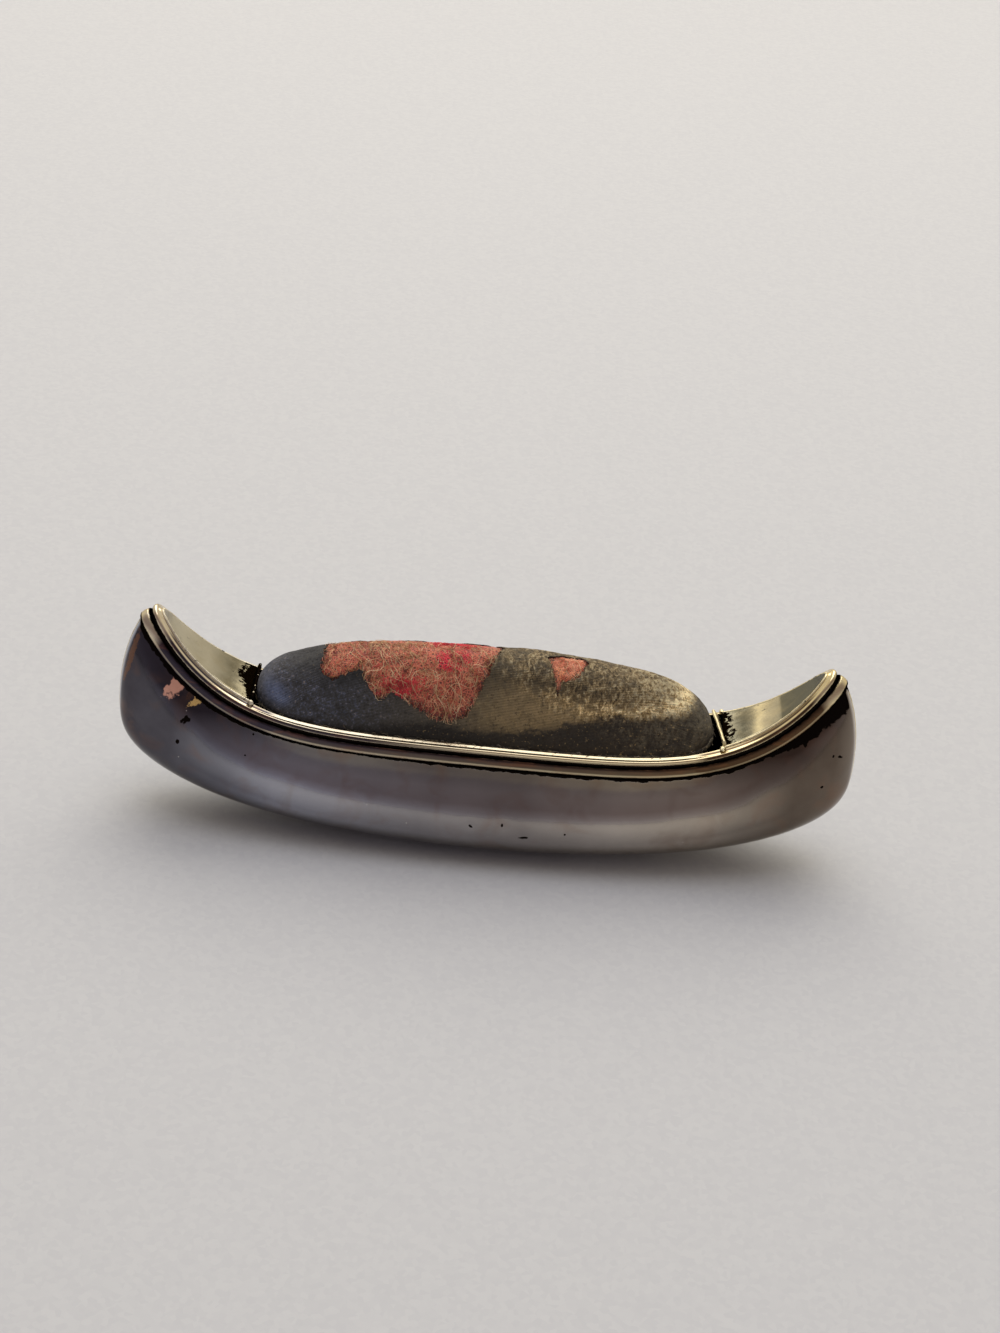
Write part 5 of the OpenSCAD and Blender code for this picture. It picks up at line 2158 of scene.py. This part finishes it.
@dataclass
class Filling:
    """What the pad stands on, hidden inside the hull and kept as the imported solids."""

    finishes: dict[str, Finish] = field(
        default_factory=lambda: {
            "pitch_bed": Crust("poured_pitch", PITCH_SHADES, 2.0, (0.15, 0.5), 0.12),
            "cushion_block": WhittledPine("whittled_pine"),
            "glue_film": Crust("hide_glue_film", GLUE_SHADES, 0.9, (0.2, 0.6), 0.05),
            "pad_card": PressedFlakes("pressed_strawboard"),
            "gathering_thread": Fibre("waxed_linen_thread", "#D9CBA8", "#A8966C"),
            "sawdust_core": PressedFlakes("packed_sawdust", "#CDA56E", "#8F6536", 0.35),
        }
    )

    def build(self) -> list[Piece]:
        """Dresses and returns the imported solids."""
        made = []
        for name, finish in self.finishes.items():
            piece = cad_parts[name]
            piece.data.materials.clear()
            piece.data.materials.append(finish.material())
            made.append(piece)
        return made


# ---- Studio ----


@dataclass(frozen=True)
class Softbox:
    """A soft lamp: where it stands, its width and height, its power and its colour."""

    name: str
    place: Triple
    size: Pair
    watts: float
    colour: str


@dataclass
class Studio:
    """The table, the lamps, the air around them and the camera."""

    paper: Finish = TABLE_PAPER
    floor_half: float = 2.5
    lamps: tuple[Softbox, ...] = (
        Softbox("far_window", (0.0, 0.55, 0.62), (0.9, 0.7), 3.9, "#FFF8E8"),
        Softbox("overhead", (-0.05, 0.08, 1.1), (0.9, 0.9), 3.5, "#F3F4FC"),
        Softbox("far_strip", (-0.37, 0.864, 0.342), (0.028, 0.5), 0.05, "#FFEBBC"),
        Softbox("far_gap", (-0.4, 0.85, 0.342), (0.026, 0.5), 0.018, "#FFEBC8"),
    )
    # Colours of the air by height, in front of the canoe and behind it
    front: tuple[tuple[float, str], ...] = (
        (0.0, "#B6B4B8"),
        (0.5, "#B6B2B6"),
        (0.56, "#9C959A"),
        (0.66, "#857A7C"),
        (0.86, "#8A8284"),
        (0.93, "#C9BFAA"),
        (1.0, "#CFCBC4"),
    )
    behind: tuple[tuple[float, str], ...] = (
        (0.0, "#8A8782"),
        (0.5, "#CBC5B6"),
        (0.6, "#D6CEBA"),
        (0.7, "#DCD4C2"),
        (1.0, "#C8C9CE"),
    )
    camera_place: Triple = (0.0008437, -0.3412734, 0.2151618)
    camera_right: Triple = (0.9953399, 0.0464911, 0.0844811)
    camera_up: Triple = (-0.0964278, 0.4834977, 0.8700182)
    camera_back: Triple = (-0.0003983, -0.8741101, 0.4857276)
    lens: float = 78.73

    def floor(self) -> Piece:
        """Lays the table."""
        h = self.floor_half / MM
        points = np.array([[-h, -h, 0], [h, -h, 0], [h, h, 0], [-h, h, 0]], float)
        table = make_piece("table", points, [(0, 1, 2, 3)])
        table.data.materials.append(self.paper.material())
        return table

    def air(self) -> None:
        """Sets the world: dim in front of the canoe and bright and warm behind it."""
        world = bpy.data.worlds.new("studio_air")
        bpy.context.scene.world = world
        world.use_nodes = True
        tree = world.node_tree
        way = add(tree, "TexCoord").outputs["Generated"]
        axes = add(tree, "SeparateXYZ", (way,)).outputs
        height = add(tree, "MapRange", (axes["Z"], -1.0, 1.0))
        back = add(tree, "MapRange", (axes["Y"], -0.5, 0.6), **SMOOTH)
        ahead = add(tree, "ValToRGB", (height,), stops=self.front)
        beyond = add(tree, "ValToRGB", (height,), stops=self.behind)
        colour = add(tree, "Mix", (back, ahead, beyond), **RGB)
        shade = next(n for n in tree.nodes if n.type == "BACKGROUND")
        feed(tree, shade, {"Color": colour, "Strength": 1.0})

    def light(self, lamp: Softbox) -> None:
        """Hangs one lamp and aims it at the canoe."""
        data = bpy.data.lights.new(lamp.name, "AREA")
        data.shape = "RECTANGLE"
        data.size, data.size_y = lamp.size
        data.energy = lamp.watts
        data.color = linear(lamp.colour)[:3]
        hung = placed(lamp.name, data)
        hung.location = lamp.place
        aim = Vector((0, 0, 0.012)) - Vector(lamp.place)
        hung.rotation_euler = aim.to_track_quat("-Z", "Y").to_euler()

    def camera(self) -> None:
        """Stands the camera before the port side, looking a little down."""
        data = bpy.data.cameras.new("camera")
        data.sensor_width = 36.0
        data.lens = self.lens
        data.clip_start, data.clip_end = 0.01, 20.0
        camera = placed("camera", data)
        columns = (self.camera_right, self.camera_up, self.camera_back, self.camera_place)
        camera.matrix_world = Matrix(
            [[c[row] for c in columns] for row in range(3)] + [[0, 0, 0, 1]]
        )
        bpy.context.scene.camera = camera

    def build(self) -> None:
        """Sets up the table, the air, the lamps and the camera."""
        bpy.context.scene.view_settings.view_transform = "Standard"
        self.floor()
        self.air()
        for lamp in self.lamps:
            self.light(lamp)
        self.camera()


def main() -> None:
    """Builds the studio and every sub-assembly, and reports each piece."""
    logging.basicConfig(level=logging.INFO, format="%(message)s")
    lines = Lines()
    Studio().build()
    parts = (
        Hull(lines),
        Gunwale(lines),
        Deck(lines, End.FORE),
        Deck(lines, End.AFT),
        Pad(lines),
        Filling(),
    )
    for part in parts:
        for piece in part.build():
            LOG.info(
                "%s: %s, %d faces", type(part).__name__, piece.name, len(piece.data.polygons)
            )


if __name__ == "__main__":
    main()
